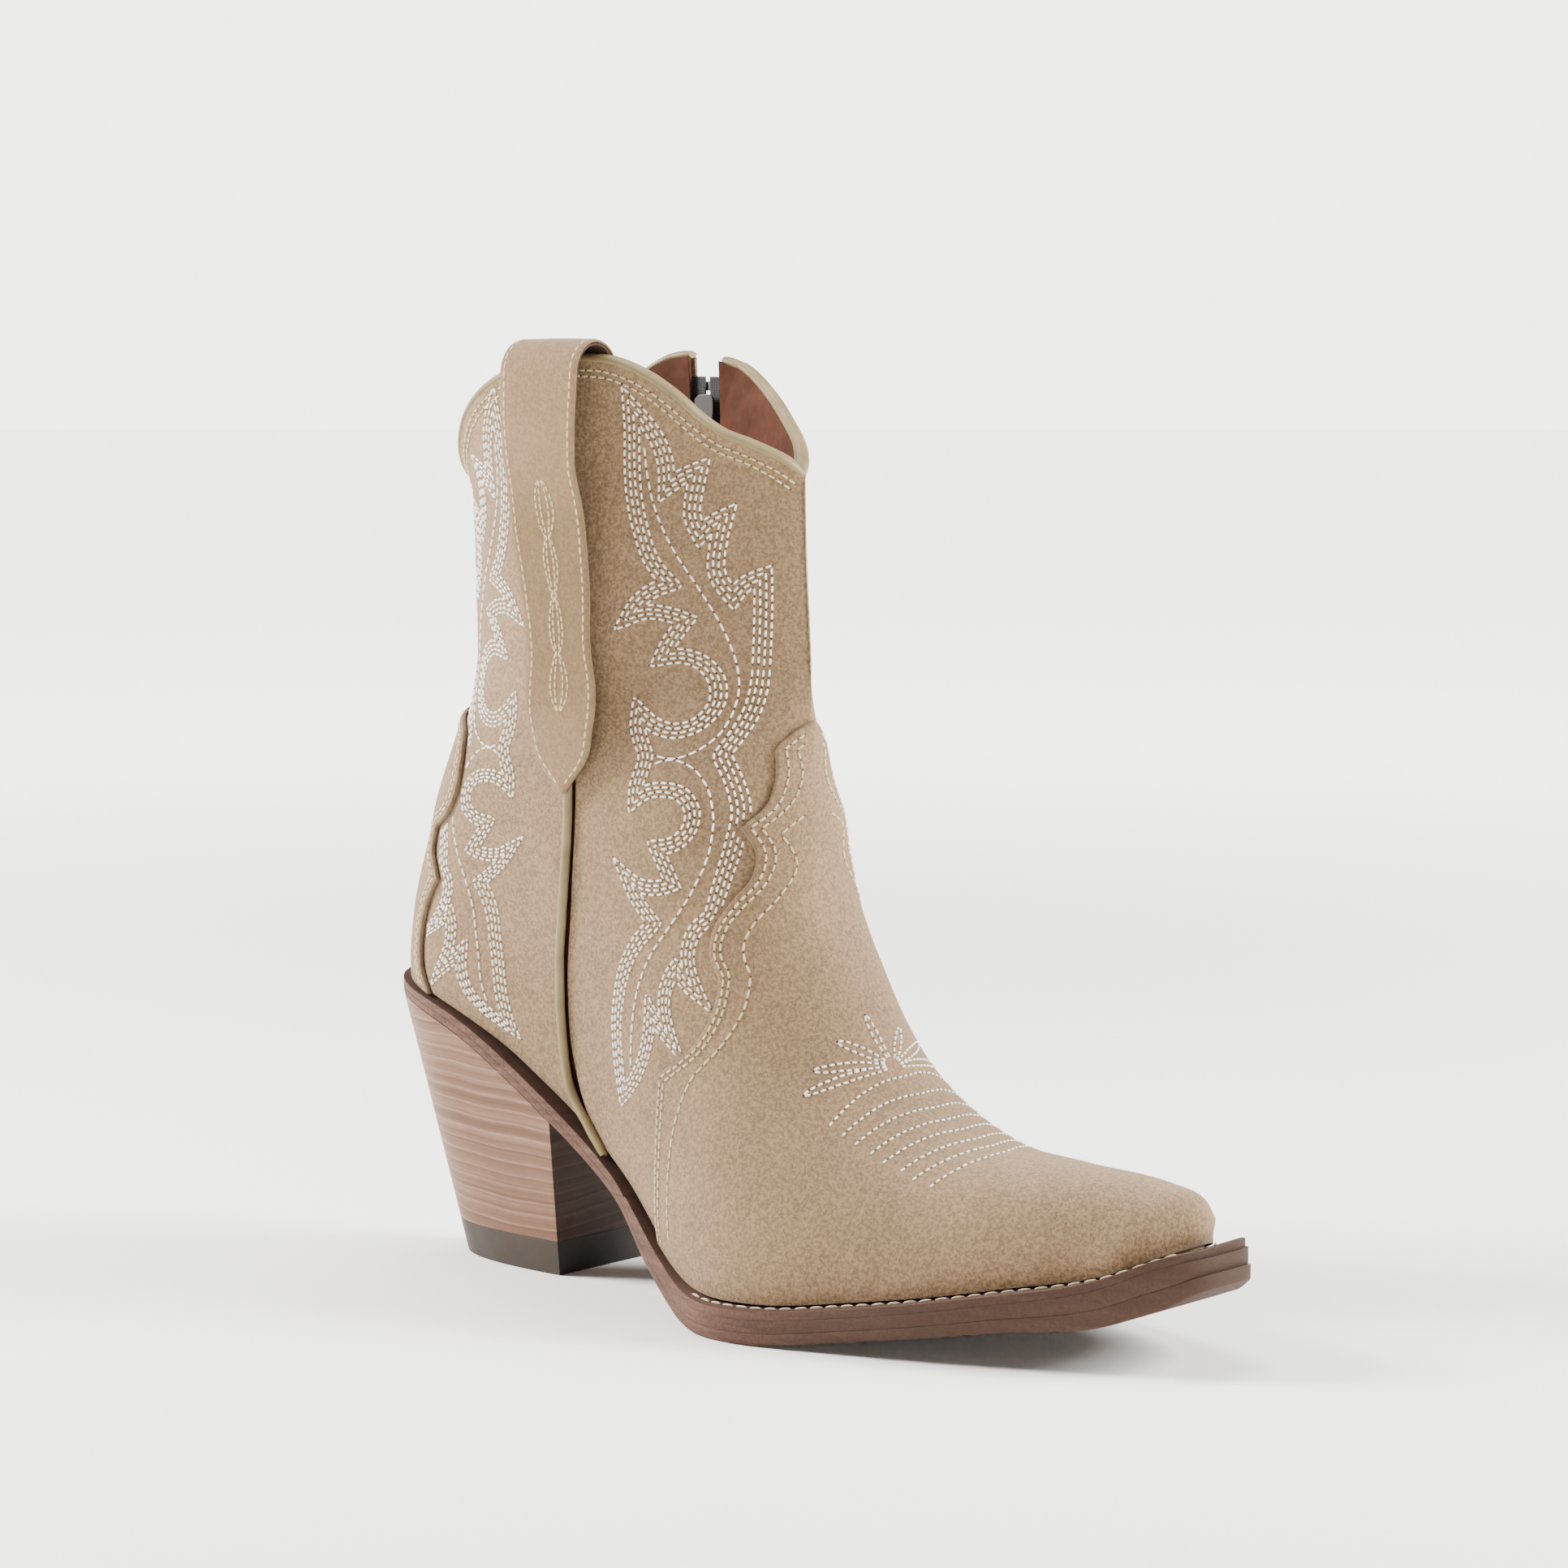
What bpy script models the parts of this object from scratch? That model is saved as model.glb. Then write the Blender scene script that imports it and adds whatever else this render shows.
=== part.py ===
"""Cowboy ankle boot for the right foot.

Every leather panel, sole layer, heel lift, fastener and zip piece is a closed solid of its own.
+X points to the toe, +Y to the inner side of the leg, +Z up.  The origin is on the ground under
the middle of the heel.  All lengths in the tables are millimetres; meshes are made in metres.
"""

import math

import bmesh
import bpy
import numpy as np

MM = 0.001
GAP = 0.35  # clearance between neighbouring pieces

# ---------------------------------------------------------------- driving dimensions
# Side view of the boot, as (x, z) points
FRONT_LINE = [(212, 28), (214, 33.5), (211, 40), (199, 43.5), (174, 45.5), (149, 48.5), (128, 60),
              (110, 88), (102, 106), (97, 133), (96.5, 165), (95, 193), (94.5, 213)]
BACK_LINE = [(-39, 77.5), (-38.5, 84.5), (-36.5, 96), (-26, 124), (-18.5, 156), (-18, 188),
             (-19, 207)]
TOPLINE = [(-19, 207), (6.5, 232), (32, 240.5), (63, 232.5), (94.5, 213)]
FEATHER = [(-39, 77.5), (-2, 68), (25, 51.5), (53, 32), (85, 11.5), (112, 9.3), (140, 12.5),
           (172, 18), (200, 23.5), (212, 28), (224, 32.4)]

# Half widths in plan at the feather line, and of the shaft by height
FOOT_WIDTH = [(-39, 26), (-2, 29), (16, 27), (44, 26.5), (71, 34), (103, 45), (136, 39.5),
              (163, 32), (191, 20.5), (205, 15.8), (212, 9.2)]
SHAFT_WIDTH = [(64, 31), (101, 32.2), (140, 33.2), (180, 34.2), (212, 34.8), (240, 35.1)]
TOE_SWING = 6.7         # the toe lies this far towards the inner side
SWING_START = 71.0
SWING_LENGTH = 138.0

# Depths of the layers below the outer surface, as (outer, inner)
OVERLAY = (0.0, -1.2)
SHAFT = (-1.6, -2.8)
TAPE = (-3.2, -3.7)
STIFFENER = (-3.2, -3.8)
PUFF = (-1.7, -2.9)
LINING = (-4.2, -5.2)

# Seams, as (x, z) points in the side view
SIDE_SEAM = [(32, 250), (37, 190), (41, 132), (38, 103), (33, 80), (32.5, 65), (36, 50), (44, 30)]
VAMP_EDGE = [(68, -20), (71, 62), (83, 70), (88, 82), (86, 99), (92, 109), (92, 119), (88, 125),
             (93, 132), (92, 144), (97, 152), (125, 158)]
COUNTER_EDGE = [(-60, 152), (-24, 149), (-9, 145), (-3, 136), (-3, 126), (-12, 119), (-13, 111),
                (-10, 104), (-17, 96), (-19, 84), (-14, 74), (-10, 40)]
VAMP_LAP = 9.0          # how far the shaft runs in under the vamp

# Zip on the inner side
ZIP_TOP = (33.0, 236.0)
ZIP_BOTTOM = (39.5, 116.0)
ZIP_SLOT = 5.2          # half width of the opening between the leather edges
SLOT_RUNOUT = 16.0      # the leather opening runs on below the zip's end
TAPE_HALF = 13.0
TAPE_GAP = 0.9          # half the gap between the two tapes
TOOTH_WIDTH = 2.0
TOOTH_DEPTH = 1.5
TEETH_DEPTH = -2.5       # back of the teeth, below the surface
SLIDER_SIZE = (8.6, 11.0)
PULL_LENGTH = 20.0

# Sole: half widths of the edge in plan
SOLE_WIDTH = [(-42, 27.5), (-2, 30), (25, 28.5), (50, 28.5), (75, 36.5), (103, 48.5), (136, 44),
              (163, 37), (191, 26.5), (207, 21.5), (221, 16)]
SOLE_BACK = -41.5
SOLE_TIP = 221.0
WELT = 2.0
FILLER = (0.1, 1.7)     # heights above the feather line, as (bottom, top)
INSOLE = (2.0, 3.9)
SOCK = (4.2, 5.2)
INSOLE_INSET = 7.4
MIDSOLE = (1.6, 2.4, 3.05)   # thickness at the back of the heel, the waist and the tread
OUTSOLE = (1.5, 2.3, 2.75)
WELT_START = 60.0
SEAT_CLEARANCE = 0.7    # the upper's lower edge stands this far above the sole

# Heel
LIFT_THICKNESS = 6.1
TOP_LIFT = 9.6
HEEL_BREAST = (22.8, 29.0)      # x of the front face, at the ground and at the seat
HEEL_BACK = (-22.8, -40.5)
HEEL_HALF = (17.0, 28.6)
HEEL_ROUNDNESS = 2.5

# Pull strap: centre x, z, half width, stand-off from the shaft
STRAP = [(41.0, 131.0, 1.6, 0.4), (41.0, 137.0, 7.0, 0.4), (40.5, 149.0, 11.4, 0.5),
         (39.4, 166.0, 9.3, 0.6), (39.6, 183.0, 9.8, 1.2), (38.0, 201.0, 10.6, 2.6),
         (34.0, 222.0, 12.4, 4.2), (32.0, 238.0, 13.4, 4.8)]
STRAP_THICKNESS = 1.5
STRAP_RISE = 248.0      # top of the fold
STRAP_INSIDE = 34.0     # how far it runs down inside

SOLE_CELLS = 36
COLUMNS = 16            # cells along each side of the boot
ROWS = 20


# ---------------------------------------------------------------- curves
def tangents(t, values):
    """Slopes of a smooth curve through the values at parameters t."""
    step = np.diff(t)
    slope = np.diff(values, axis=0) / step.reshape(-1, *[1] * (values.ndim - 1))
    weight = (step[:-1] / (step[:-1] + step[1:])).reshape(-1, *[1] * (values.ndim - 1))
    out = np.empty_like(values)
    out[1:-1] = slope[:-1] * (1 - weight) + slope[1:] * weight
    out[0] = 1.5 * slope[0] - 0.5 * out[1]
    out[-1] = 1.5 * slope[-1] - 0.5 * out[-2]
    return out


def hermite(t, values, at):
    """The smooth curve through the values, read at the parameters in at."""
    slope = tangents(t, values)
    at = np.clip(at, t[0], t[-1])
    k = np.clip(np.searchsorted(t, at, side="right") - 1, 0, len(t) - 2)
    step = t[k + 1] - t[k]
    u = (at - t[k]) / step
    shape = u.shape + (1,) * (values.ndim - 1)
    u = u.reshape(shape)
    step = step.reshape(shape)
    rise = u * u * (3 - 2 * u)
    into = u * (1 - u) * (1 - u)
    out_of = u * u * (u - 1)
    return (1 - rise) * values[k] + rise * values[k + 1] + step * (into * slope[k] + out_of * slope[k + 1])


def smooth_line(points, count):
    """count points along the smooth line through the points, evenly spaced by chord."""
    points = np.array(points, float)
    chord = np.concatenate([[0], np.cumsum(np.linalg.norm(np.diff(points, axis=0), axis=1))])
    return hermite(chord, points, np.linspace(0, chord[-1], count))


def smooth_function(knots):
    knots = np.array(knots, float)
    return lambda x: hermite(knots[:, 0], knots[:, 1], np.asarray(x, float))


def by_share(line, share):
    """Points of a line at the given shares of its length."""
    length = np.concatenate([[0], np.cumsum(np.linalg.norm(np.diff(line, axis=0), axis=1))])
    length /= length[-1]
    return np.stack([np.interp(share, length, line[:, i]) for i in range(line.shape[1])], -1)


def nearest(x, z, line):
    """Distance from each (x, z) to a line, and the share of its length where that is."""
    points = np.stack([x.ravel(), z.ravel()], 1)
    start = line[:-1]
    run = np.diff(line, axis=0)
    length = np.linalg.norm(run, axis=1)
    along = ((points[:, None] - start) * run).sum(2) / length**2
    along = np.clip(along, 0, 1)
    foot = start + along[:, :, None] * run
    distance = np.linalg.norm(points[:, None] - foot, axis=2)
    k = distance.argmin(1)
    row = np.arange(len(points))
    total = np.concatenate([[0], np.cumsum(length)])
    share = (total[k] + along[row, k] * length[k]) / total[-1]
    return distance[row, k].reshape(x.shape), share.reshape(x.shape)


def bulge(t, power):
    """0 at t = 0 with an upright start, 1 from t = 1 on."""
    t = np.clip(t, 0, 1)
    return (1 - (1 - t) ** power) ** (1 / power)


def smoothstep(t):
    t = np.clip(t, 0, 1)
    return t * t * (3 - 2 * t)


# ---------------------------------------------------------------- the boot's outer surface
FRONT = smooth_line(FRONT_LINE, 160)
BACK = smooth_line(BACK_LINE, 80)
feather_z = smooth_function(FEATHER)
foot_width = smooth_function(FOOT_WIDTH)
shaft_width = smooth_function(SHAFT_WIDTH)
front_x = smooth_function([(z, x) for x, z in FRONT_LINE[7:]])
back_x = smooth_function([(z, x) for x, z in BACK_LINE])
toe_radius = smooth_function([(0, 8.3), (0.06, 14.7), (0.12, 22), (0.3, 33), (0.45, 38.6),
                              (0.6, 46), (1, 46)])


def spine(x):
    return TOE_SWING * np.clip((x - SWING_START) / SWING_LENGTH, 0, 2) ** 1.5


def half_width(x, z):
    """Half width of the boot at a point of its side view."""
    to_front, share = nearest(x, z, FRONT)
    to_back, _ = nearest(x, z, BACK)
    chord = (front_x(z) - back_x(z)) / 2
    upper = smoothstep((z - 120) / 46)
    front_round = toe_radius(share) * (1 - upper) + chord * upper
    back_round = 31.3 * (1 - upper) + chord * upper
    height = z - feather_z(x)
    shaft = smoothstep((height - 9) / 64)
    foot = foot_width(x) * (1 - 0.05 * (1 - np.clip(height / 11, 0, 1)) ** 2)
    width = foot * (1 - shaft) + shaft_width(z) * shaft
    front_power = 2.2 * (1 - upper) + 1.25 * upper
    back_power = 2.1 * (1 - upper) + 1.8 * upper
    return width * bulge(to_front / front_round, front_power) * bulge(to_back / back_round, back_power)


def surface(x, z, side, depth=0.0):
    """Points on the boot's side, raised by depth along the surface's normal."""
    x = np.atleast_1d(np.asarray(x, float))
    z = np.atleast_1d(np.asarray(z, float))
    step = 1.0
    y = spine(x) + side * half_width(x, z)
    dy_dx = (spine(x + step) - spine(x - step)
             + side * (half_width(x + step, z) - half_width(x - step, z))) / (2 * step)
    dy_dz = side * (half_width(x, z + step) - half_width(x, z - step)) / (2 * step)
    normal = side * np.stack([-dy_dx, np.ones_like(x), -dy_dz], 1)
    normal /= np.linalg.norm(normal, axis=1)[:, None]
    return np.stack([x, y, z], 1) + normal * np.reshape(depth, (-1, 1)), normal


def ring_grid():
    """Points and outward normals around the whole boot: outer side, then inner side."""
    s = (1 - np.cos(np.pi * np.linspace(0, 1, COLUMNS + 1))) / 2
    t = np.linspace(0, 1, ROWS + 1)
    toe, heel = FRONT_LINE[0][0], BACK_LINE[0][0]
    bottom_x = heel + (toe - heel) * s
    bottom = np.stack([bottom_x, feather_z(bottom_x)], 1)
    top_line = smooth_line(TOPLINE, 200)
    top_x = TOPLINE[0][0] + (TOPLINE[-1][0] - TOPLINE[0][0]) * s
    top = np.stack([top_x, np.interp(top_x, top_line[:, 0], top_line[:, 1])], 1)
    back = by_share(BACK, t)[:, None]
    front = by_share(FRONT, t)[:, None]
    s = s[None, :, None]
    t = t[:, None, None]
    corners = ((1 - s) * (1 - t) * bottom[0] + s * (1 - t) * bottom[-1]
               + (1 - s) * t * top[0] + s * t * top[-1])
    plane = (1 - t) * bottom + t * top + (1 - s) * back + s * front - corners
    x, z = plane[:, :, 0], plane[:, :, 1]
    width = half_width(x, z)
    width[:, 0] = 0
    width[:, -1] = 0
    outer = np.stack([x, spine(x) - width, z], 2)
    inner = np.stack([x, spine(x) + width, z], 2)[:, -2:0:-1]
    points = np.concatenate([outer, inner], 1)
    around = np.roll(points, -1, 1) - np.roll(points, 1, 1)
    up = np.gradient(points, axis=0)
    normals = np.cross(around, up)
    normals /= np.linalg.norm(normals, axis=2)[:, :, None]
    return points, normals


POINTS, NORMALS = ring_grid()
GRID_X = POINTS[:, :, 0]
GRID_Z = POINTS[:, :, 2]
INNER_SIDE = np.arange(POINTS.shape[1])[None] > COLUMNS


def zip_x(z):
    share = (ZIP_TOP[1] - z) / (ZIP_TOP[1] - ZIP_BOTTOM[1])
    return ZIP_TOP[0] + (ZIP_BOTTOM[0] - ZIP_TOP[0]) * share


def side_of_line(line):
    """Signed distance of the grid from an open line; positive on its right-hand side."""
    line = np.array(line, float)
    distance, _ = nearest(GRID_X, GRID_Z, line)
    ends = np.array([line[0], *line, line[-1]])
    ends[0] += (line[0] - line[1]) * 50
    ends[-1] += (line[-1] - line[-2]) * 50
    crossings = np.zeros(GRID_X.shape, int)
    for (ax, az), (bx, bz) in zip(ends[:-1], ends[1:]):
        spans = (az > GRID_Z) != (bz > GRID_Z)
        at = ax + (GRID_Z - az) / np.where(bz == az, 1, bz - az) * (bx - ax)
        crossings += spans & (at < GRID_X)
    return np.where(crossings % 2 == 1, distance, -distance)


# ---------------------------------------------------------------- objects and materials
def material(name, colour, roughness, metallic=0.0):
    made = bpy.data.materials.new(name)
    made.use_nodes = True
    shader = made.node_tree.nodes["Principled BSDF"]
    shader.inputs["Base Color"].default_value = (*colour, 1)
    shader.inputs["Roughness"].default_value = roughness
    shader.inputs["Metallic"].default_value = metallic
    return made


def add_object(name, points, faces, mat, parent=None, origin=(0, 0, 0)):
    """A mesh object from points in millimetres, with its origin at the given place."""
    origin = np.array(origin, float)
    mesh = bpy.data.meshes.new(name)
    mesh.from_pydata([tuple((np.array(p, float) - origin) * MM) for p in points], [], faces)
    mesh.validate()
    shape = bmesh.new()
    shape.from_mesh(mesh)
    bmesh.ops.recalc_face_normals(shape, faces=shape.faces)
    shape.to_mesh(mesh)
    shape.free()
    mesh.shade_smooth()
    mesh.set_sharp_from_angle(angle=math.radians(35))
    made = bpy.data.objects.new(name, mesh)
    made.data.materials.append(mat)
    made.location = origin * MM
    bpy.context.scene.collection.objects.link(made)
    if parent:
        made.parent = parent
        made.matrix_parent_inverse = parent.matrix_world.inverted()
    return made


def loft(name, rings, mat, **place):
    """A solid through closed rings that all have the same number of points."""
    count = len(rings[0])
    points = [p for ring in rings for p in ring]
    faces = []
    for i in range(len(rings) - 1):
        for j in range(count):
            k = (j + 1) % count
            faces.append((i * count + j, i * count + k, (i + 1) * count + k, (i + 1) * count + j))
    faces.append(tuple(range(count))[::-1])
    faces.append(tuple((len(rings) - 1) * count + j for j in range(count)))
    return add_object(name, points, faces, mat, **place)


def clip(polygon, values, field, table):
    """The part of a polygon of vertex keys where the field is positive."""
    out = []
    for a, b in zip(polygon, polygon[1:] + polygon[:1]):
        fa, fb = values[a][field], values[b][field]
        if fa > 0:
            out.append(a)
        if (fa > 0) != (fb > 0):
            lo, hi = sorted((a, b), key=repr)
            key = ("cut", lo, hi, field)
            if key not in table:
                share = values[lo][field] / (values[lo][field] - values[hi][field])
                table[key] = tuple(p + (q - p) * share for p, q in zip(table[lo], table[hi]))
                values[key] = values[lo] + (values[hi] - values[lo]) * share
            out.append(key)
    return out


def panel(name, layer, keep, mat):
    """A sheet of the boot's surface where every field in keep is positive, from its outer to
    its inner depth.  All panels share one grid, so stacked panels stay parallel."""
    fields = np.stack(np.broadcast_arrays(*keep), -1).astype(float)
    fields = np.where(np.abs(fields) < 0.06, 0.06, fields)
    rows, columns = GRID_X.shape
    table = {}
    values = {}
    for i in range(rows):
        for j in range(columns):
            table[(i, j)] = (POINTS[i, j], NORMALS[i, j])
            values[(i, j)] = fields[i, j]
    polygons = []
    for i in range(rows - 1):
        for j in range(columns):
            k = (j + 1) % columns
            for corner in (((i, j), (i, k), (i + 1, k)), ((i, j), (i + 1, k), (i + 1, j))):
                polygon = list(corner)
                for field in range(fields.shape[-1]):
                    polygon = clip(polygon, values, field, table) if polygon else polygon
                if len(polygon) > 2:
                    polygons.append(polygon)
    order = {}
    for polygon in polygons:
        for key in polygon:
            order.setdefault(key, len(order))
    total = len(order)
    points = [table[key][0] + table[key][1] * layer[0] for key in order]
    points += [table[key][0] + table[key][1] * layer[1] for key in order]
    faces = []
    edges = {}
    for polygon in polygons:
        ring = [order[key] for key in polygon]
        faces.append(tuple(ring))
        faces.append(tuple(total + v for v in ring[::-1]))
        for a, b in zip(ring, ring[1:] + ring[:1]):
            edges[(a, b)] = True
    for a, b in edges:
        if (b, a) not in edges:
            faces.append((b, a, total + a, total + b))
    return add_object(name, points, faces, mat)


def ribbon(name, centre, across, out, half_widths, bottoms, thickness, mat, crown=0.0, **place):
    """A band along a path: across is its width direction and out its outward direction."""
    rings = []
    for c, a, n, half, bottom in zip(centre, across, out, half_widths, bottoms):
        low = [c - a * half + n * bottom, c + a * half + n * bottom]
        high = [c + a * half + n * (bottom + thickness)]
        if crown:
            high = [c + a * half * 0.9 + n * (bottom + thickness * 0.6),
                    c + a * half * 0.4 + n * (bottom + thickness + crown),
                    c - a * half * 0.4 + n * (bottom + thickness + crown),
                    c - a * half * 0.9 + n * (bottom + thickness * 0.6)]
        else:
            high.append(c - a * half + n * (bottom + thickness))
        rings.append(low + high)
    return loft(name, rings, mat, **place)


def on_surface_path(path, side, count):
    """Points, width directions and normals along an (x, z) path on one side of the boot."""
    line = smooth_line(path, count)
    centre, normal = surface(line[:, 0], line[:, 1], side)
    run = np.gradient(centre, axis=0)
    across = np.cross(normal, run)
    across /= np.linalg.norm(across, axis=1)[:, None]
    return centre, across, normal


# ---------------------------------------------------------------- upper
def upper(suede, leather, lining_leather, board):
    seam = side_of_line(SIDE_SEAM[::-1])
    in_front = -seam if seam[5, COLUMNS] < 0 else seam
    vamp_side = side_of_line(VAMP_EDGE)
    vamp_side = -vamp_side if vamp_side[1, COLUMNS] < 0 else vamp_side
    counter_side = side_of_line(COUNTER_EDGE)
    counter_side = -counter_side if counter_side[4, 0] < 0 else counter_side
    run = GRID_X - zip_x(GRID_Z)
    under_slot = ZIP_BOTTOM[1] - SLOT_RUNOUT - GRID_Z
    before_zip = np.where(INNER_SIDE, np.maximum(run - ZIP_SLOT, under_slot), 100)
    behind_zip = np.where(INNER_SIDE, np.maximum(-run - ZIP_SLOT, under_slot), 100)
    edge = 0.5
    height = GRID_Z - feather_z(GRID_X)

    panel("vamp", OVERLAY, [vamp_side], suede)
    panel("counter_overlay", OVERLAY, [counter_side], suede)
    panel("shaft_front", SHAFT, [in_front - edge, VAMP_LAP - vamp_side, before_zip], suede)
    panel("shaft_back", SHAFT, [-in_front - edge, behind_zip], suede)
    panel("lining_front", LINING, [in_front - edge, before_zip], lining_leather)
    panel("lining_back", LINING, [-in_front - edge, behind_zip], lining_leather)
    panel("heel_stiffener", STIFFENER, [44 - height, 10 - GRID_X], board)
    panel("toe_puff", PUFF, [GRID_X - 158], board)


def zip_tapes(tape):
    run = GRID_X - zip_x(GRID_Z)
    on_zip = [np.where(INNER_SIDE, 1.0, -1.0), ZIP_TOP[1] + 1.5 - GRID_Z, GRID_Z - ZIP_BOTTOM[1] + 6]
    panel("zip_tape_front", TAPE, [run - TAPE_GAP, TAPE_HALF - run, *on_zip], tape)
    panel("zip_tape_back", TAPE, [-run - TAPE_GAP, TAPE_HALF + run, *on_zip], tape)


def pipings(leather):
    # Binding over the top edge, open at the zip
    run = np.roll(POINTS[-1], -1, 0) - np.roll(POINTS[-1], 1, 0)
    rise = np.cross(run, NORMALS[-1])
    rise /= np.linalg.norm(rise, axis=1)[:, None]
    rise *= np.sign(rise[:, 2:])
    beside = np.abs(POINTS[-1, :, 0] - zip_x(POINTS[-1, :, 2])) > ZIP_SLOT + 0.2
    kept = np.where(beside | (POINTS[-1, :, 1] < 0))[0]
    first = np.where(np.diff(kept) > 1)[0][0] + 1
    kept = np.roll(kept, -first)
    section = [(-1.0, 0.6), (-0.5, 1.8), (-1.4, 3.0), (-3.1, 3.5), (-4.8, 3.0), (-5.7, 1.8),
               (-5.4, 0.6)]
    rings = []
    for place, out, up in zip(POINTS[-1, kept], NORMALS[-1, kept], rise[kept]):
        rings.append([place + out * across + up * height for across, height in section])
    loft("topline_piping", rings, leather)

    # Cord over each side seam
    for name, side in (("side_piping_outer", -1), ("side_piping_inner", 1)):
        path = [(41, 126), (40, 115), (38, 103), (34, 86), (32.5, 68), (35, 52), (41, 42.5)]
        if side > 0:
            path = [(36.5, 95), *path[3:]]
        centre, across, out = on_surface_path(path, side, 16)
        count = len(centre)
        ribbon(name, centre, across, out, [1.5] * count, [-1.1] * count, 1.3, leather, crown=0.4)


def pull_strap(suede):
    """A strap sewn along the outer side seam, folded over the top edge and sewn inside."""
    x, z, half, lift = (np.array(column, float) for column in zip(*STRAP))
    chord = np.concatenate([[0], np.cumsum(np.hypot(np.diff(x), np.diff(z)))])
    at = np.linspace(0, chord[-1], 17)
    x, z, half, lift = (hermite(chord, column, at) for column in (x, z, half, lift))
    centre, normal = surface(x, z, -1)
    rings = []

    def add(c, a, n, h, bottom):
        rings.append([c - a * h + n * bottom, c + a * h + n * bottom,
                      c + a * h + n * (bottom + STRAP_THICKNESS),
                      c - a * h + n * (bottom + STRAP_THICKNESS)])

    for c, n, h, bottom in zip(centre, normal, half, lift):
        across = np.cross(n, (0, 0, 1.0))
        across /= np.linalg.norm(across)
        add(c, across, n, h, bottom)
    # Half circle over the top edge
    across = np.array((-1.0, 0, 0))
    top_y = centre[-1][1]
    outside = top_y - lift[-1]
    inside = top_y + 7.4
    middle = (outside + inside) / 2
    radius = (inside - outside) / 2
    rise = STRAP_RISE - STRAP_THICKNESS - z[-1]
    for angle in np.radians((20, 45, 70, 90, 110, 135, 160)):
        out = np.array((0, -math.cos(angle), math.sin(angle) * rise / radius))
        place = np.array((x[-1], middle, z[-1])) + np.array(
            (0, -math.cos(angle) * radius, math.sin(angle) * rise))
        direction = out / np.linalg.norm(out)
        add(place, across, direction, half[-1], 0)
    # Down the inside, clear of the lining
    for drop in (0.0, 0.33, 0.66, 1.0):
        level = z[-1] - STRAP_INSIDE * drop
        base, _ = surface(x[-1], level, -1)
        place = np.array((x[-1], base[0][1] + 7.4, level))
        add(place, across, np.array((0, 1.0, 0)), half[-1] - 3 * drop, 0)
    loft("pull_strap", rings, suede)


# ---------------------------------------------------------------- sole and heel
sole_width = smooth_function(SOLE_WIDTH)


def sole_half(x, inset=0.0):
    width = sole_width(x) - inset
    back = bulge((x - SOLE_BACK - inset) / 31, 2.2)
    tip = bulge((SOLE_TIP - inset - x) / 6, 3)
    return np.maximum(width * back * tip, 0.4)


def layer_tops(x):
    """Heights of the top of the welt, midsole and outsole, and of the sole's bottom."""
    to_tread = smoothstep((x - 50) / 45)
    to_waist = smoothstep((x + 40) / 60)
    mid = MIDSOLE[0] + (MIDSOLE[1] - MIDSOLE[0]) * to_waist + (MIDSOLE[2] - MIDSOLE[1]) * to_tread
    out = OUTSOLE[0] + (OUTSOLE[1] - OUTSOLE[0]) * to_waist + (OUTSOLE[2] - OUTSOLE[1]) * to_tread
    top = feather_z(x) - SEAT_CLEARANCE
    midsole_top = top - (WELT + 0.3) * smoothstep((x - 52) / 16)
    outsole_top = midsole_top - mid - 0.3
    return top, midsole_top, outsole_top, outsole_top - out


def stations(start, end):
    """Places along the sole, closer together towards both ends."""
    share = (1 - np.cos(np.pi * np.linspace(0, 1, SOLE_CELLS + 1))) / 2
    x = SOLE_BACK + 0.05 + (SOLE_TIP - SOLE_BACK - 0.1) * share
    return [start, *x[(x > start + 0.5) & (x < end - 0.5)], end]


def inner_half(x):
    """Half width inside the upper, just above the sole."""
    width = half_width(np.array([x]), feather_z(np.array([x])) + 1.0)
    return max(float(width[0]) - INSOLE_INSET, 0.5)


def slab(name, start, end, half_of, top, bottom, mat):
    """A sole layer between two heights that depend on x."""
    rings = []
    for x in stations(start, end):
        half = float(half_of(x))
        middle = float(spine(x))
        low, high = float(bottom(x)), float(top(x))
        rings.append([(x, middle - half, low), (x, middle + half, low),
                      (x, middle + half, high), (x, middle - half, high)])
    return loft(name, rings, mat)


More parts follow.
